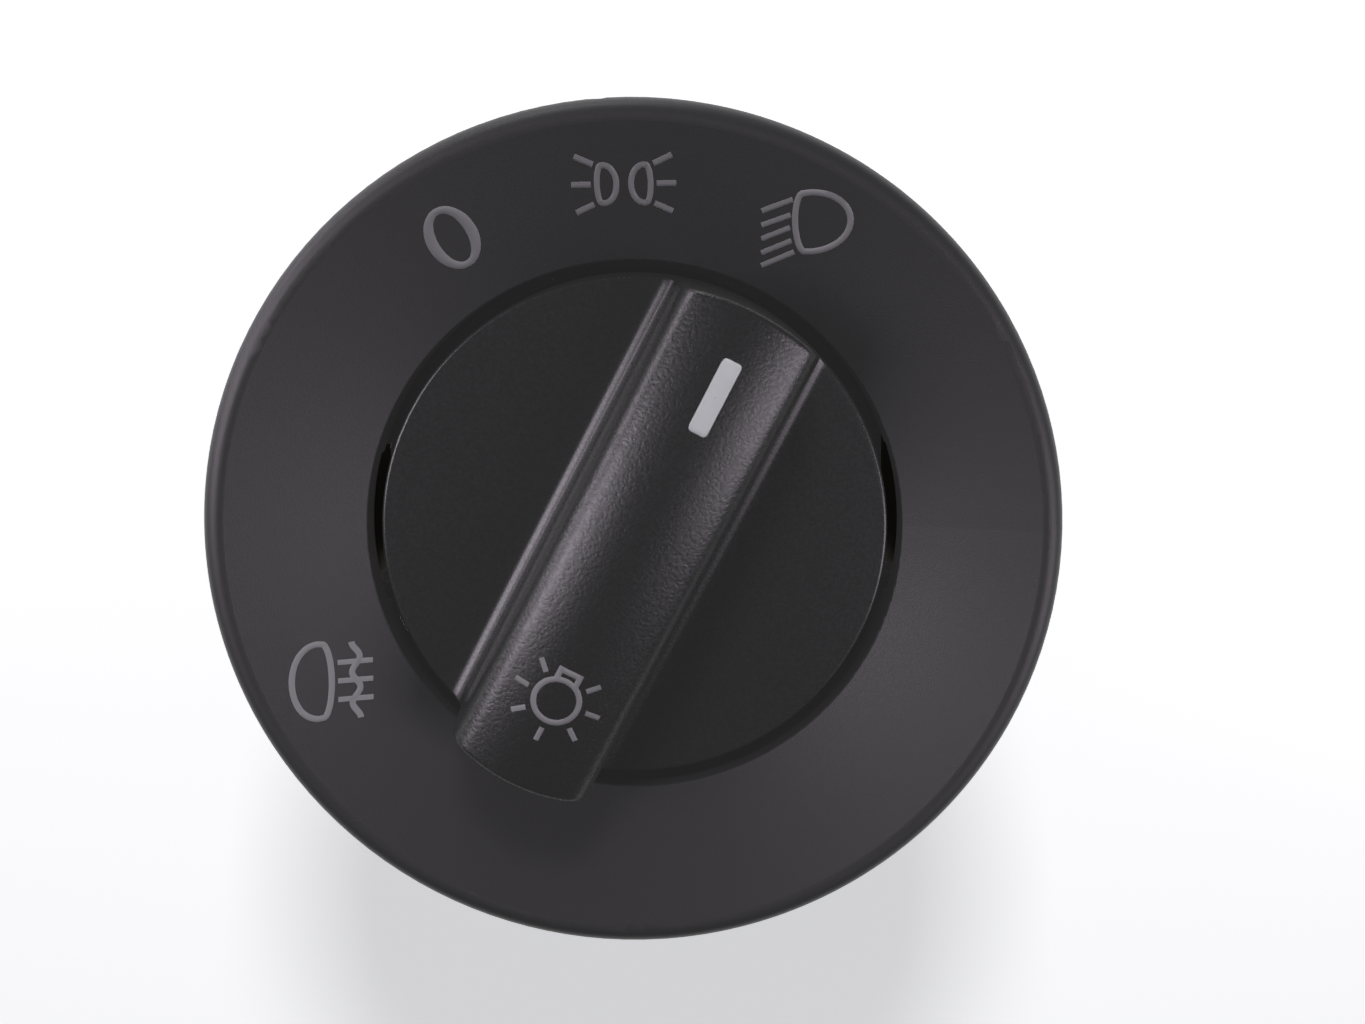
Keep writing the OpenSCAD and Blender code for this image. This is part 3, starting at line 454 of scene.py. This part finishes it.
def ink_line(line, width, height_at, thickness, closed=False):
    """A line of ink: a flat rounded section carried along a line in plan, with its foot just under the surface it lies on."""
    p = np.asarray(line, float)
    if closed:
        along = np.roll(p, -1, 0) - np.roll(p, 1, 0)
    else:
        along = np.gradient(p, axis=0)
    along /= np.linalg.norm(along, axis=1, keepdims=True)
    side = np.stack([-along[:, 1], along[:, 0]], 1)
    width = np.broadcast_to(np.asarray(width, float).reshape(-1, 1), (len(p), 1))
    across = np.array([-0.5, -0.5, -0.47, 0, 0.47, 0.5, 0.5])
    lift = np.array([-0.6, 0.4, 1.0, 1.0, 1.0, 0.4, -0.6]) * thickness
    xy = p[:, None, :] + (width * across)[..., None] * side[:, None, :]
    z = height_at(xy[..., 0], xy[..., 1]) + lift
    points = np.concatenate([xy, z[..., None]], -1)
    rows, cols = points.shape[:2]
    if closed:
        return points.reshape(-1, 3), grid_faces(rows, cols, closed_rows=True, closed_cols=True)
    caps = []
    for end in (0, -1):
        middle = points[end].mean(0)
        caps.append(np.repeat(middle[None], cols, 0))
    points = np.concatenate([[caps[0]], points, [caps[1]]])
    return points.reshape(-1, 3), grid_faces(len(points), cols, closed_cols=True)


def joined(parts):
    """Several pieces of (points, faces) as one."""
    start = np.cumsum([0] + [len(p) for p, _ in parts[:-1]])
    return (
        np.concatenate([p for p, _ in parts]),
        np.concatenate([f + s for (_, f), s in zip(parts, start)]),
    )


def on_dish(x, y):
    """Height of the bezel's dish, a cone: DISC_Z + slope*(r - DISH_R). It is tangent to the rim's round, so its angle
    is that of the line to the round's centre plus the round's half angle seen from the dish's foot."""
    run, rise = RIM_CENTRE[0] - DISH_R, RIM_CENTRE[1] - DISC_Z
    lean = math.atan2(rise, run) + math.asin(RIM_R / math.hypot(run, rise))
    return DISC_Z + math.tan(lean) * (np.hypot(x, y) - DISH_R)


def on_bar(x, y):
    """Height of the bar's crown, a cylinder along the bar with its ends arched down, at points of the plan."""
    c, s = math.cos(BAR_ANGLE), math.sin(BAR_ANGLE)
    shape = bpy.context.scene.switch_knob
    crown = shape.crown_radius
    return arched(shape, c * x + s * y, BAR_TOP_Z - crown + np.sqrt(crown**2 - (c * y - s * x) ** 2))


def lens_outline(width, height, back, tilt=0.0):
    """A lamp's lens seen from the side: a bowed front (width*cos t^0.85, height/2*sin t) and a back that bows the other way."""
    t = np.radians(np.linspace(-84, 84, 40))
    front = np.stack([width * np.cos(t) ** 0.85, height / 2 * np.sin(t)], 1)
    t = np.radians(np.linspace(84, -84, 26))[1:-1]
    rear = np.stack([-back * np.cos(t), height / 2 * np.sin(t)], 1)
    line = np.concatenate([front, rear])
    c, s = math.cos(tilt), math.sin(tilt)
    return line @ np.array([[c, s], [-s, c]])


def off_symbol(stroke, tilt):
    """The off sign: an upright oval, thicker at its sides, leaning with the dial."""
    t = np.linspace(0, 2 * math.pi, 64, endpoint=False)
    oval = np.stack([1.82 * np.cos(t), 2.58 * np.sin(t)], 1)
    c, s = math.cos(tilt), math.sin(tilt)
    oval = oval @ np.array([[c, s], [-s, c]])
    wide = 0.6 + 0.42 * np.cos(t) ** 2
    return [(oval + [-15.45, 27.18], wide, True)]


def side_symbol(stroke):
    """The side lamps' sign: two lenses front to front, with three rays each."""
    lines = []
    for way in (-1, 1):
        lens = lens_outline(1.3, 3.3, 0.42) * [-way, 1]
        lines.append((lens + [-0.15 + way * 1.95, 31.57], stroke, True))
        for y, x in ((1.9, 0.0), (0.0, 0.35), (-1.9, 0.0)):
            a = np.array([-0.15 + way * (2.66 + 0.24 * (y == 0)), 31.57 + y * 0.9])
            b = np.array([-0.15 + way * (4.28 + x), 31.57 + y * 1.28])
            lines.append((straight(a, b), stroke, False))
    return lines


def head_symbol(stroke):
    """The dipped beam's sign: a lens with five slanting rays on its left."""
    lines = [(lens_outline(4.0, 5.2, 0.8, 0.05) + [15.72, 27.92], stroke * 1.05, True)]
    for n, (left, right) in enumerate(((29.0, 29.95), (27.75, 28.6), (26.55, 27.5), (25.3, 26.35), (24.15, 25.35))):
        bow = 14.68 - 0.3 * math.sin(math.pi * n / 4) + 0.05 * n
        lines.append((straight((11.97, left), (bow, right)), stroke * 0.92, False))
    return lines


def fog_symbol(stroke):
    """The rear fog lamp's sign: a lens on the left, and three rays crossed by a wave."""
    lens = lens_outline(2.6, 6.9, 0.85) * [-1, 1]
    lines = [(lens + [-29.27, -13.14], stroke * 1.05, True)]
    for y in (-11.64, -13.34, -15.04):
        lines.append((straight((-27.89, y + 0.04), (-24.8, y - 0.04)), stroke * 0.92, False))
    y = np.linspace(-9.8, -16.84, 64)
    wave = np.stack([-26.29 - 0.35 * np.cos((y + 9.8) / 7.04 * 5 * math.pi), y], 1)
    lines.append((wave, stroke * 1.05, False))
    return lines


def bulb_symbol(stroke):
    """The lamp's sign on the bar's tail, in the bar's own axes: a round bulb, its square cap towards the axis, and seven rays."""
    centre = np.array([-14.4, 0.0])
    t = np.linspace(0, 2 * math.pi, 48, endpoint=False)
    lines = [(centre + 2.02 * np.stack([np.cos(t), np.sin(t)], 1), stroke, True)]
    cap = np.array([[1.98, -0.92], [2.84, -0.92], [2.84, 0.92], [1.98, 0.92]])
    for a, b in zip(cap[:-1], cap[1:]):
        reach = (b - a) / np.linalg.norm(b - a) * stroke * 0.45
        lines.append((centre + straight(a - reach, b + reach), stroke, False))
    for a in (45, 87.5, 130, 180, 230, 272.5, 315):
        ray = np.array([math.cos(math.radians(a)), math.sin(math.radians(a))])
        lines.append((centre + straight(ray * 2.78, ray * 4.1), stroke * 0.92, False))
    return lines


# Materials


def node(tree, kind, inputs=None, **settings):
    """Adds a node with its settings, and gives each input a value or a link."""
    made = tree.nodes.new(kind)
    for key, value in settings.items():
        setattr(made, key, value)
    for key, value in (inputs or {}).items():
        if isinstance(value, bpy.types.NodeSocket):
            tree.links.new(value, made.inputs[key])
        else:
            made.inputs[key].default_value = value
    return made


def new_material(name):
    material = bpy.data.materials.new(name)
    material.use_nodes = True
    tree = material.node_tree
    tree.nodes.clear()
    place = node(tree, "ShaderNodeTexCoord").outputs["Object"]
    return material, tree, place


def shaded(tree, colour, **sockets):
    """The Principled shader with these sockets, on the material's output."""
    inputs = {"Base Color": colour}
    inputs.update({key.replace("_", " "): value for key, value in sockets.items()})
    shader = node(tree, "ShaderNodeBsdfPrincipled", inputs)
    node(tree, "ShaderNodeOutputMaterial", {"Surface": shader.outputs["BSDF"]})
    return shader


def per_mm(size):
    """A texture's scale for features of this size in millimetres, on coordinates in metres."""
    return 1 / (size * MM)


def mixed(tree, amount, a, b):
    return node(
        tree, "ShaderNodeMix", {0: amount, 6: a, 7: b}, data_type="RGBA"
    ).outputs[2]


def moulded(name, colour, grain, depth, roughness, spread=0.06, mottle=0.12, **extra):
    """A moulded plastic. grain is the size of its tool's texture in millimetres and depth how deep it is."""
    material, tree, place = new_material(name)
    pits = node(tree, "ShaderNodeTexNoise", {"Vector": place, "Scale": per_mm(grain), "Detail": 3.0, "Roughness": 0.6})
    flow = node(tree, "ShaderNodeTexNoise", {"Vector": place, "Scale": per_mm(9), "Detail": 2.0})
    light = tuple(min(1, c * (1 + mottle)) for c in colour[:3]) + (1,)
    dark = tuple(c * (1 - mottle) for c in colour[:3]) + (1,)
    shade = mixed(tree, flow.outputs["Fac"], dark, light)
    rough = node(tree, "ShaderNodeMapRange", {"Value": pits.outputs["Fac"], "From Min": 0.3, "From Max": 0.7, "To Min": roughness - spread, "To Max": roughness + spread})
    bump = node(tree, "ShaderNodeBump", {"Height": pits.outputs["Fac"], "Distance": depth * MM, "Strength": 1.0})
    shaded(tree, shade, Roughness=rough.outputs["Result"], Normal=bump.outputs["Normal"], **extra)
    return material


def metal(name, colour, roughness, scratch, stretch=(1, 1, 12)):
    """A bare or plated metal. scratch is the spacing of its drawing or rolling marks in millimetres."""
    material, tree, place = new_material(name)
    turned_place = node(tree, "ShaderNodeMapping", {"Vector": place, "Scale": stretch}).outputs["Vector"]
    marks = node(tree, "ShaderNodeTexNoise", {"Vector": turned_place, "Scale": per_mm(scratch), "Detail": 4.0})
    stain = node(tree, "ShaderNodeTexNoise", {"Vector": place, "Scale": per_mm(2.5), "Detail": 3.0})
    dull = tuple(c * 0.8 for c in colour[:3]) + (1,)
    shade = mixed(tree, stain.outputs["Fac"], dull, tuple(colour))
    rough = node(tree, "ShaderNodeMapRange", {"Value": marks.outputs["Fac"], "From Min": 0.3, "From Max": 0.7, "To Min": roughness - 0.08, "To Max": roughness + 0.1})
    bump = node(tree, "ShaderNodeBump", {"Height": marks.outputs["Fac"], "Distance": 0.004 * MM, "Strength": 1.0})
    shaded(tree, shade, Metallic=1.0, Roughness=rough.outputs["Result"], Normal=bump.outputs["Normal"])
    return material


def painted_glow():
    """A glow painted on the black plastics: a faint white emission, not a lamp, that lifts their blacks and their
    shaded hollows evenly, standing in for the scatter of a white floor's light in a lens.
    """
    return {"Emission_Color": (1, 1, 1, 1), "Emission_Strength": bpy.context.scene.switch_studio.painted_glow_strength}


def bezel_grain(colour):
    """ABS and polycarbonate moulded in a spark-eroded tool: a fine even grain that spreads a light into a dull sheen."""
    # The bezel also gets the faint white glow painted on the black plastics
    return moulded("Bezel Spark Eroded ABS", colour, 0.16, 0.012, 0.46, 0.05, 0.06, IOR=1.53, **painted_glow())


def knob_grain(colour):
    """The knob is one moulding with a fine grain on the bar and a smoother disc, as the photograph's sparkle shows only on the bar. The change follows the height over the disc."""
    material, tree, place = new_material("Knob Fine Grain ABS")
    high = node(tree, "ShaderNodeSeparateXYZ", {"Vector": place}).outputs["Z"]
    on_the_bar = node(tree, "ShaderNodeMapRange", {"Value": high, "From Min": 0.4 * MM, "From Max": 3 * MM, "To Min": 0.15, "To Max": 1.0}).outputs["Result"]
    pits = node(tree, "ShaderNodeTexNoise", {"Vector": place, "Scale": per_mm(0.3), "Detail": 3.0, "Roughness": 0.6})
    flow = node(tree, "ShaderNodeTexNoise", {"Vector": place, "Scale": per_mm(8), "Detail": 2.0})
    light = tuple(c * 1.12 for c in colour[:3]) + (1,)
    dark = tuple(c * 0.88 for c in colour[:3]) + (1,)
    shade = mixed(tree, flow.outputs["Fac"], dark, light)
    rough = node(tree, "ShaderNodeMapRange", {"Value": pits.outputs["Fac"], "From Min": 0.3, "From Max": 0.7, "To Min": 0.22, "To Max": 0.34})
    bump = node(tree, "ShaderNodeBump", {"Height": pits.outputs["Fac"], "Distance": 0.04 * MM, "Strength": on_the_bar})
    # The knob also gets the faint white glow painted on the black plastics
    shaded(tree, shade, Roughness=rough.outputs["Result"], Normal=bump.outputs["Normal"], IOR=1.53, **painted_glow())
    return material


def pad_ink(colour):
    """Pad-printed ink: a matt grey film with a slightly uneven edge and thickness."""
    return moulded("Symbol Pad Print Ink", colour, 0.12, 0.006, 0.62, 0.05, 0.08, IOR=1.5)


def opal_acrylic(colour):
    """Opal acrylic: a milky white that light enters a little way, with a moulded gloss."""
    material, tree, place = new_material("Pointer Opal Acrylic")
    cloud = node(tree, "ShaderNodeTexNoise", {"Vector": place, "Scale": per_mm(1.4), "Detail": 2.0})
    shade = mixed(tree, cloud.outputs["Fac"], tuple(c * 0.93 for c in colour[:3]) + (1,), tuple(colour))
    fine = node(tree, "ShaderNodeTexNoise", {"Vector": place, "Scale": per_mm(0.12), "Detail": 2.0})
    rough = node(tree, "ShaderNodeMapRange", {"Value": fine.outputs["Fac"], "To Min": 0.24, "To Max": 0.4})
    bump = node(tree, "ShaderNodeBump", {"Height": fine.outputs["Fac"], "Distance": 0.003 * MM})
    shaded(tree, shade, Roughness=rough.outputs["Result"], Normal=bump.outputs["Normal"], IOR=1.49, Subsurface_Weight=0.35, Subsurface_Radius=(0.6 * MM, 0.6 * MM, 0.6 * MM), Subsurface_Scale=1.0)
    return material


def clear_polycarbonate():
    """Clear polycarbonate light guides: polished faces, a faint blue-grey body and small flow marks."""
    material, tree, place = new_material("Light Guide Clear Polycarbonate")
    flow = node(tree, "ShaderNodeTexNoise", {"Vector": place, "Scale": per_mm(3), "Detail": 2.0})
    shade = mixed(tree, flow.outputs["Fac"], linear("#dde3e6"), linear("#f2f5f6"))
    fine = node(tree, "ShaderNodeTexNoise", {"Vector": place, "Scale": per_mm(0.4), "Detail": 2.0})
    rough = node(tree, "ShaderNodeMapRange", {"Value": fine.outputs["Fac"], "To Min": 0.03, "To Max": 0.14})
    bump = node(tree, "ShaderNodeBump", {"Height": flow.outputs["Fac"], "Distance": 0.01 * MM})
    shaded(tree, shade, Roughness=rough.outputs["Result"], Normal=bump.outputs["Normal"], IOR=1.585, Transmission_Weight=0.9)
    return material


def solder_mask(colour):
    """Glass-fibre board under a black solder mask, as lamp boards have it: rings of copper track raise it a little."""
    material, tree, place = new_material("Light Board Solder Mask")
    rings = node(tree, "ShaderNodeTexWave", {"Vector": place, "Scale": per_mm(14), "Distortion": 1.5, "Detail": 1.0}, wave_type="RINGS", rings_direction="Z")
    track = node(tree, "ShaderNodeMapRange", {"Value": rings.outputs["Fac"], "From Min": 0.72, "From Max": 0.76}).outputs["Result"]
    weave = node(tree, "ShaderNodeTexNoise", {"Vector": place, "Scale": per_mm(0.5), "Detail": 2.0})
    base = mixed(tree, weave.outputs["Fac"], tuple(c * 0.8 for c in colour[:3]) + (1,), tuple(colour))
    shade = mixed(tree, track, base, tuple(min(1, c * 1.7) for c in colour[:3]) + (1,))
    bump = node(tree, "ShaderNodeBump", {"Height": track, "Distance": 0.03 * MM})
    rough = node(tree, "ShaderNodeMapRange", {"Value": weave.outputs["Fac"], "To Min": 0.2, "To Max": 0.36})
    # The solder mask also gets the faint white glow painted on the black plastics
    shaded(tree, shade, Roughness=rough.outputs["Result"], Normal=bump.outputs["Normal"], IOR=1.55, **painted_glow())
    return material


def chip_lamp(board_top):
    """A chip lamp: a white ceramic tray with a domed yellow phosphor window on top, told apart by height."""
    material, tree, place = new_material("Chip Lamp Ceramic And Phosphor")
    high = node(tree, "ShaderNodeSeparateXYZ", {"Vector": place}).outputs["Z"]
    top = node(tree, "ShaderNodeMapRange", {"Value": high, "From Min": (board_top + 0.55) * MM, "From Max": (board_top + 0.62) * MM}).outputs["Result"]
    fine = node(tree, "ShaderNodeTexNoise", {"Vector": place, "Scale": per_mm(0.15), "Detail": 2.0})
    shade = mixed(tree, top, linear("#e9e7df"), linear("#d9c552"))
    rough = node(tree, "ShaderNodeMapRange", {"Value": fine.outputs["Fac"], "To Min": 0.3, "To Max": 0.5})
    shaded(tree, shade, Roughness=rough.outputs["Result"], IOR=1.5)
    return material


def chip_resistor(middle):
    """A chip resistor: a black glazed middle and tinned ends, told apart by the distance from its middle's radius."""
    material, tree, place = new_material("Chip Resistor Glaze And Tin")
    flat = node(tree, "ShaderNodeVectorMath", {0: place, 1: (1, 1, 0)}, operation="MULTIPLY").outputs["Vector"]
    out = node(tree, "ShaderNodeVectorMath", {0: flat}, operation="LENGTH").outputs["Value"]
    centre = node(tree, "ShaderNodeMath", {0: out, 1: middle}, operation="SUBTRACT").outputs["Value"]
    away = node(tree, "ShaderNodeMath", {0: centre}, operation="ABSOLUTE").outputs["Value"]
    tin = node(tree, "ShaderNodeMapRange", {"Value": away, "From Min": 1.05 * MM, "From Max": 1.15 * MM}).outputs["Result"]
    fine = node(tree, "ShaderNodeTexNoise", {"Vector": place, "Scale": per_mm(0.2), "Detail": 2.0})
    shade = mixed(tree, tin, linear("#141416"), linear("#b9bbbd"))
    rough = node(tree, "ShaderNodeMapRange", {"Value": fine.outputs["Fac"], "To Min": 0.25, "To Max": 0.45})
    shaded(tree, shade, Roughness=rough.outputs["Result"], Metallic=tin, IOR=1.5)
    return material


def dress(material, *names):
    """Gives a CAD node this material in all its slots."""
    for name in names:
        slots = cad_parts[name].data.materials
        for i in range(len(slots)):
            slots[i] = material
        if not len(slots):
            slots.append(material)


# Pieces


class SWITCH_OT_knob(bpy.types.Operator):
    """Build the knob's moulding with its disc, grip bar and window"""

    bl_idname = "switch.knob"
    bl_label = "Knob"

    def execute(self, context):
        shape, colours = context.scene.switch_knob, context.scene.switch_colours
        points, faces = knob_moulding(shape)
        knob = make_mesh("knob_moulding", points, faces, sharp=50)
        knob.data.materials.append(knob_grain(colours.knob))
        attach(knob, KNOB_BODY)
        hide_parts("knob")
        return {"FINISHED"}


class SWITCH_OT_pointer(bpy.types.Operator):
    """Build the pointer's opal light guide with its crowned window"""

    bl_idname = "switch.pointer"
    bl_label = "Pointer"

    def execute(self, context):
        shape, colours = context.scene.switch_knob, context.scene.switch_colours
        points, faces = pointer_rod(shape)
        rod = make_mesh("pointer_window", points, faces, sharp=50)
        rod.data.materials.append(opal_acrylic(colours.window))
        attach(rod, KNOB_BODY)
        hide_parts("pointer_light_guide")
        return {"FINISHED"}


class SWITCH_OT_dial_prints(bpy.types.Operator):
    """Print the lamp symbols on the bezel's dish"""

    bl_idname = "switch.dial_prints"
    bl_label = "Dial Prints"

    def execute(self, context):
        prints, colours = context.scene.switch_prints, context.scene.switch_colours
        ink = pad_ink(colours.ink)
        signs = {
            "off_print": off_symbol(prints.stroke, prints.zero_tilt),
            "side_lamps_print": side_symbol(prints.stroke),
            "headlamps_print": head_symbol(prints.stroke),
            "rear_fog_print": fog_symbol(prints.stroke),
        }
        for name, lines in signs.items():
            parts = [ink_line(line, wide, on_dish, prints.thickness, closed) for line, wide, closed in lines]
            sign = make_mesh(name, *joined(parts), sharp=40)
            sign.data.materials.append(ink)
            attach(sign, ROOT_BODY)
        return {"FINISHED"}


class SWITCH_OT_knob_print(bpy.types.Operator):
    """Print the lamp sign on the bar's tail"""

    bl_idname = "switch.knob_print"
    bl_label = "Knob Print"

    def execute(self, context):
        prints, colours = context.scene.switch_prints, context.scene.switch_colours
        c, s = math.cos(BAR_ANGLE), math.sin(BAR_ANGLE)
        turn = np.array([[c, s], [-s, c]])
        parts = [
            ink_line(line @ turn, wide, on_bar, prints.thickness, closed)
            for line, wide, closed in bulb_symbol(prints.stroke)
        ]
        sign = make_mesh("lamp_print", *joined(parts), sharp=40)
        sign.data.materials.append(pad_ink(colours.ink))
        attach(sign, KNOB_BODY)
        return {"FINISHED"}


class SWITCH_OT_front_finish(bpy.types.Operator):
    """Finish the bezel, the light guides and the light board"""

    bl_idname = "switch.front_finish"
    bl_label = "Front Finish"

    def execute(self, context):
        colours = context.scene.switch_colours
        dress(bezel_grain(colours.bezel), "bezel")
        dress(clear_polycarbonate(), "symbol_light_guide", "fog_light_guide")
        dress(solder_mask(colours.board), "light_board")
        board_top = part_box("light_board")[1].z / MM
        lamps = [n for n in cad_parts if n.startswith(("led_", "pointer_led_"))]
        dress(chip_lamp(board_top), *lamps)
        # Each resistor stands half way between a pointer lamp and a ring lamp
        radii = [sum(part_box(name), Vector()).xy.length / 2 for name in ("pointer_led_1", "led_head")]
        dress(chip_resistor(sum(radii) / 2), "board_resistors")
        return {"FINISHED"}


class SWITCH_OT_body_finish(bpy.types.Operator):
    """Finish the housing, the connector base and the moulded pieces inside"""

    bl_idname = "switch.body_finish"
    bl_label = "Body Finish"

    def execute(self, context):
        colours = context.scene.switch_colours
        # Glass-filled nylon moulds with a coarse matt skin and faint fibre swirls; the housing also gets the faint
        # white glow painted on the black plastics
        dress(moulded("Housing Glass Filled Nylon", colours.housing, 0.35, 0.02, 0.52, 0.08, 0.22, IOR=1.53, **painted_glow()), "housing")
        # Polybutylene terephthalate is denser and a little glossier
        dress(moulded("Connector Base Polyester", colours.cap, 0.3, 0.012, 0.42, 0.07, 0.15, IOR=1.55), "connector_base")
        # Acetal is slippery, waxy and slightly see-through at its edges
        acetal = moulded("Slider Acetal", colours.acetal, 0.25, 0.004, 0.34, 0.05, 0.05, IOR=1.48, Subsurface_Weight=0.12, Subsurface_Radius=(0.5 * MM,) * 3, Subsurface_Scale=1.0)
        dress(acetal, "pull_slider", "knob_carrier", "rotor", "release_disc")
        dress(moulded("Lug Acetal", colours.lug, 0.25, 0.005, 0.38, 0.06, 0.08, IOR=1.48), "lug_right", "lug_left")
        # Mineral-filled phenolic stays dull and speckled
        dress(moulded("Contact Plate Phenolic", colours.plate, 0.5, 0.02, 0.6, 0.08, 0.25, IOR=1.6), "contact_plate")
        return {"FINISHED"}


def compress(spring, axis, fixed_end):
    """Gives the spring its own copy of its mesh and finds the middle of the end of its box that stays put, the lower
    end (0) or the upper end (1) along an axis; it does not shorten the spring.
    """
    box = np.array(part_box(spring))
    middle = box.mean(axis=0)
    middle[axis] = box[fixed_end, axis]
    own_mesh(bpy.data.objects[spring])


class SWITCH_OT_metal_finish(bpy.types.Operator):
    """Finish the terminals, bridges and springs"""

    bl_idname = "switch.metal_finish"
    bl_label = "Metal Finish"

    def execute(self, context):
        colours = context.scene.switch_colours
        terminals = [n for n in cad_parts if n.startswith("terminal_")]
        # Stamped brass: fine rolling marks down the blade and a warm dull shine
        dress(metal("Terminal Stamped Brass", colours.brass, 0.3, 0.15), "board_pins", *terminals)
        # Phosphor bronze is redder, and its rolled strip is finer
        dress(metal("Bridge Phosphor Bronze", colours.bronze, 0.26, 0.12, (12, 1, 1)), "side_bridge", "head_bridge", "fog_bridge")
        # Drawn spring steel carries marks along the wire
        dress(metal("Spring Drawn Steel", colours.steel, 0.28, 0.08, (1, 1, 1)), "detent_spring", "detent_clip", "return_spring", "lug_springs_right", "lug_springs_left")
        compress("return_spring", 2, 0)
        compress("lug_springs_right", 0, 0)
        compress("lug_springs_left", 0, 1)
        return {"FINISHED"}


# Studio


def camera_matrix(studio):
    """The photograph's camera: it stands at distance times a unit vector from a point on the part's axis, is upright to +Y, and is then turned so that this point falls at its pixel."""
    wide, high = 1365, 1024
    focal = studio.lens / 36 * wide
    back = Vector((0.024, 0.199, 1.0)).normalized()
    up = (Vector((0, 1, 0)) - back * back.y).normalized()
    right = up.cross(back)
    aim = Vector(((634.344 - wide / 2) / focal, -(533.856 - high / 2) / focal, -1.0)).normalized()
    swing = Vector((0, 0, -1)).rotation_difference(aim).to_matrix()
    axes = Matrix((right, up, back))
    look = (swing @ axes).transposed()
    turn = Matrix.Rotation(studio.roll, 3, "Z")
    place = turn @ (back * studio.distance * MM) + Vector((0, 0, studio.turn_height * MM))
    return Matrix.Translation(place) @ (turn @ look).to_4x4()


def softbox(name, azimuth, height, distance, size, power, colour=(1, 1, 1), reflected=True):
    """A soft light that faces the part from an azimuth and a height, both in degrees, at a distance in metres. It is either reflected in the surfaces or lights them."""
    a, e = math.radians(azimuth), math.radians(height)
    place = distance * Vector((math.cos(e) * math.cos(a), math.cos(e) * math.sin(a), math.sin(e)))
    light = bpy.data.lights.new(name, "AREA")
    light.shape = "RECTANGLE"
    light.size, light.size_y = size
    light.energy = power
    light.color = colour
    lamp = bpy.data.objects.new(name, light)
    bpy.context.scene.collection.objects.link(lamp)
    lamp.location = place
    lamp.rotation_euler = (-place).to_track_quat("-Z", "Y").to_euler()
    lamp.visible_glossy = reflected
    lamp.visible_diffuse = not reflected


def floor_finish(colour, glow):
    """White lightbox floor: a lit acrylic sheet that glows evenly, faintly glossy; the cool grey under the part is the
    back lamp's shadow.
    """
    material, tree, place = new_material("Studio Floor Acrylic")
    wash = node(tree, "ShaderNodeTexNoise", {"Vector": place, "Scale": 3.0, "Detail": 1.0})
    shade = mixed(tree, wash.outputs["Fac"], tuple(c * 0.985 for c in colour[:3]) + (1,), tuple(colour))
    shaded(tree, shade, Roughness=0.28, Emission_Color=linear("#fbfbfd"), Emission_Strength=glow, Specular_IOR_Level=0.3)
    return material


class SWITCH_OT_studio(bpy.types.Operator):
    """Lay the pale floor and set the soft lights and the camera"""

    bl_idname = "switch.studio"
    bl_label = "Studio"

    def execute(self, context):
        scene, studio = context.scene, context.scene.switch_studio
        level = CAD_BOX[0][2]
        side = np.array([-2.0, 2.0])
        x, y = np.meshgrid(side, side, indexing="ij")
        floor = make_mesh("studio_floor", np.stack([x.ravel(), y.ravel(), np.full(4, level)], 1) / [MM, MM, MM], grid_faces(2, 2)[:, ::-1])
        floor.data.materials.append(floor_finish(scene.switch_colours.floor, studio.floor_glow))
        pink = (0.98, 0.87, 1)
        softbox("left_softbox", 171, 43, 0.5, (0.2, 0.32), studio.left_power, pink)
        softbox("right_softbox", 342, 43, 0.5, (0.15, 0.38), studio.right_power, pink)
        softbox("left_strip", 150, 11, 0.45, (0.34, 0.09), studio.strip_power, pink)
        softbox("back_strip", 100, 12, 0.45, (0.2, 0.09), studio.strip_power / 2)
        softbox("back_lamp", 88, 42, 0.6, (0.14, 0.14), studio.back_power, reflected=False)
        world = bpy.data.worlds.new("studio_world")
        world.use_nodes = True
        world.node_tree.nodes["Background"].inputs["Color"].default_value = (0.95, 0.96, 1, 1)
        world.node_tree.nodes["Background"].inputs["Strength"].default_value = 0.08
        scene.world = world
        scene.view_settings.view_transform = "Standard"
        scene.view_settings.look = "None"
        camera = bpy.data.objects.new("camera", bpy.data.cameras.new("camera"))
        camera.data.lens = studio.lens
        camera.data.sensor_width = 36
        camera.data.clip_start, camera.data.clip_end = 0.005, 20
        camera.matrix_world = camera_matrix(studio)
        scene.collection.objects.link(camera)
        scene.camera = camera
        return {"FINISHED"}


class SWITCH_PT_panel(bpy.types.Panel):
    bl_label = "Headlight Switch"
    bl_space_type = "VIEW_3D"
    bl_region_type = "UI"
    bl_category = "Headlight Switch"

    def draw(self, context):
        layout = self.layout
        for operator in OPERATORS:
            layout.operator(operator.bl_idname)
        for group in SETTINGS:
            box = layout.box()
            settings = getattr(context.scene, group)
            for key in settings.bl_rna.properties.keys():
                if key not in ("rna_type", "name"):
                    box.prop(settings, key)


OPERATORS = (
    SWITCH_OT_knob,
    SWITCH_OT_pointer,
    SWITCH_OT_dial_prints,
    SWITCH_OT_knob_print,
    SWITCH_OT_front_finish,
    SWITCH_OT_body_finish,
    SWITCH_OT_metal_finish,
    SWITCH_OT_studio,
)
SETTINGS = {
    "switch_knob": KnobShape,
    "switch_prints": PrintShape,
    "switch_colours": FinishColours,
    "switch_studio": StudioSettings,
}


def register():
    for made in (*SETTINGS.values(), *OPERATORS, SWITCH_PT_panel):
        bpy.utils.register_class(made)
    for name, group in SETTINGS.items():
        setattr(bpy.types.Scene, name, PointerProperty(type=group))


def unregister():
    for name in SETTINGS:
        delattr(bpy.types.Scene, name)
    for made in (SWITCH_PT_panel, *reversed(OPERATORS), *reversed(list(SETTINGS.values()))):
        bpy.utils.unregister_class(made)


def main():
    register()
    bpy.ops.switch.knob()
    bpy.ops.switch.pointer()
    bpy.ops.switch.dial_prints()
    bpy.ops.switch.knob_print()
    bpy.ops.switch.front_finish()
    bpy.ops.switch.body_finish()
    bpy.ops.switch.metal_finish()
    bpy.ops.switch.studio()


if __name__ == "__main__":
    main()
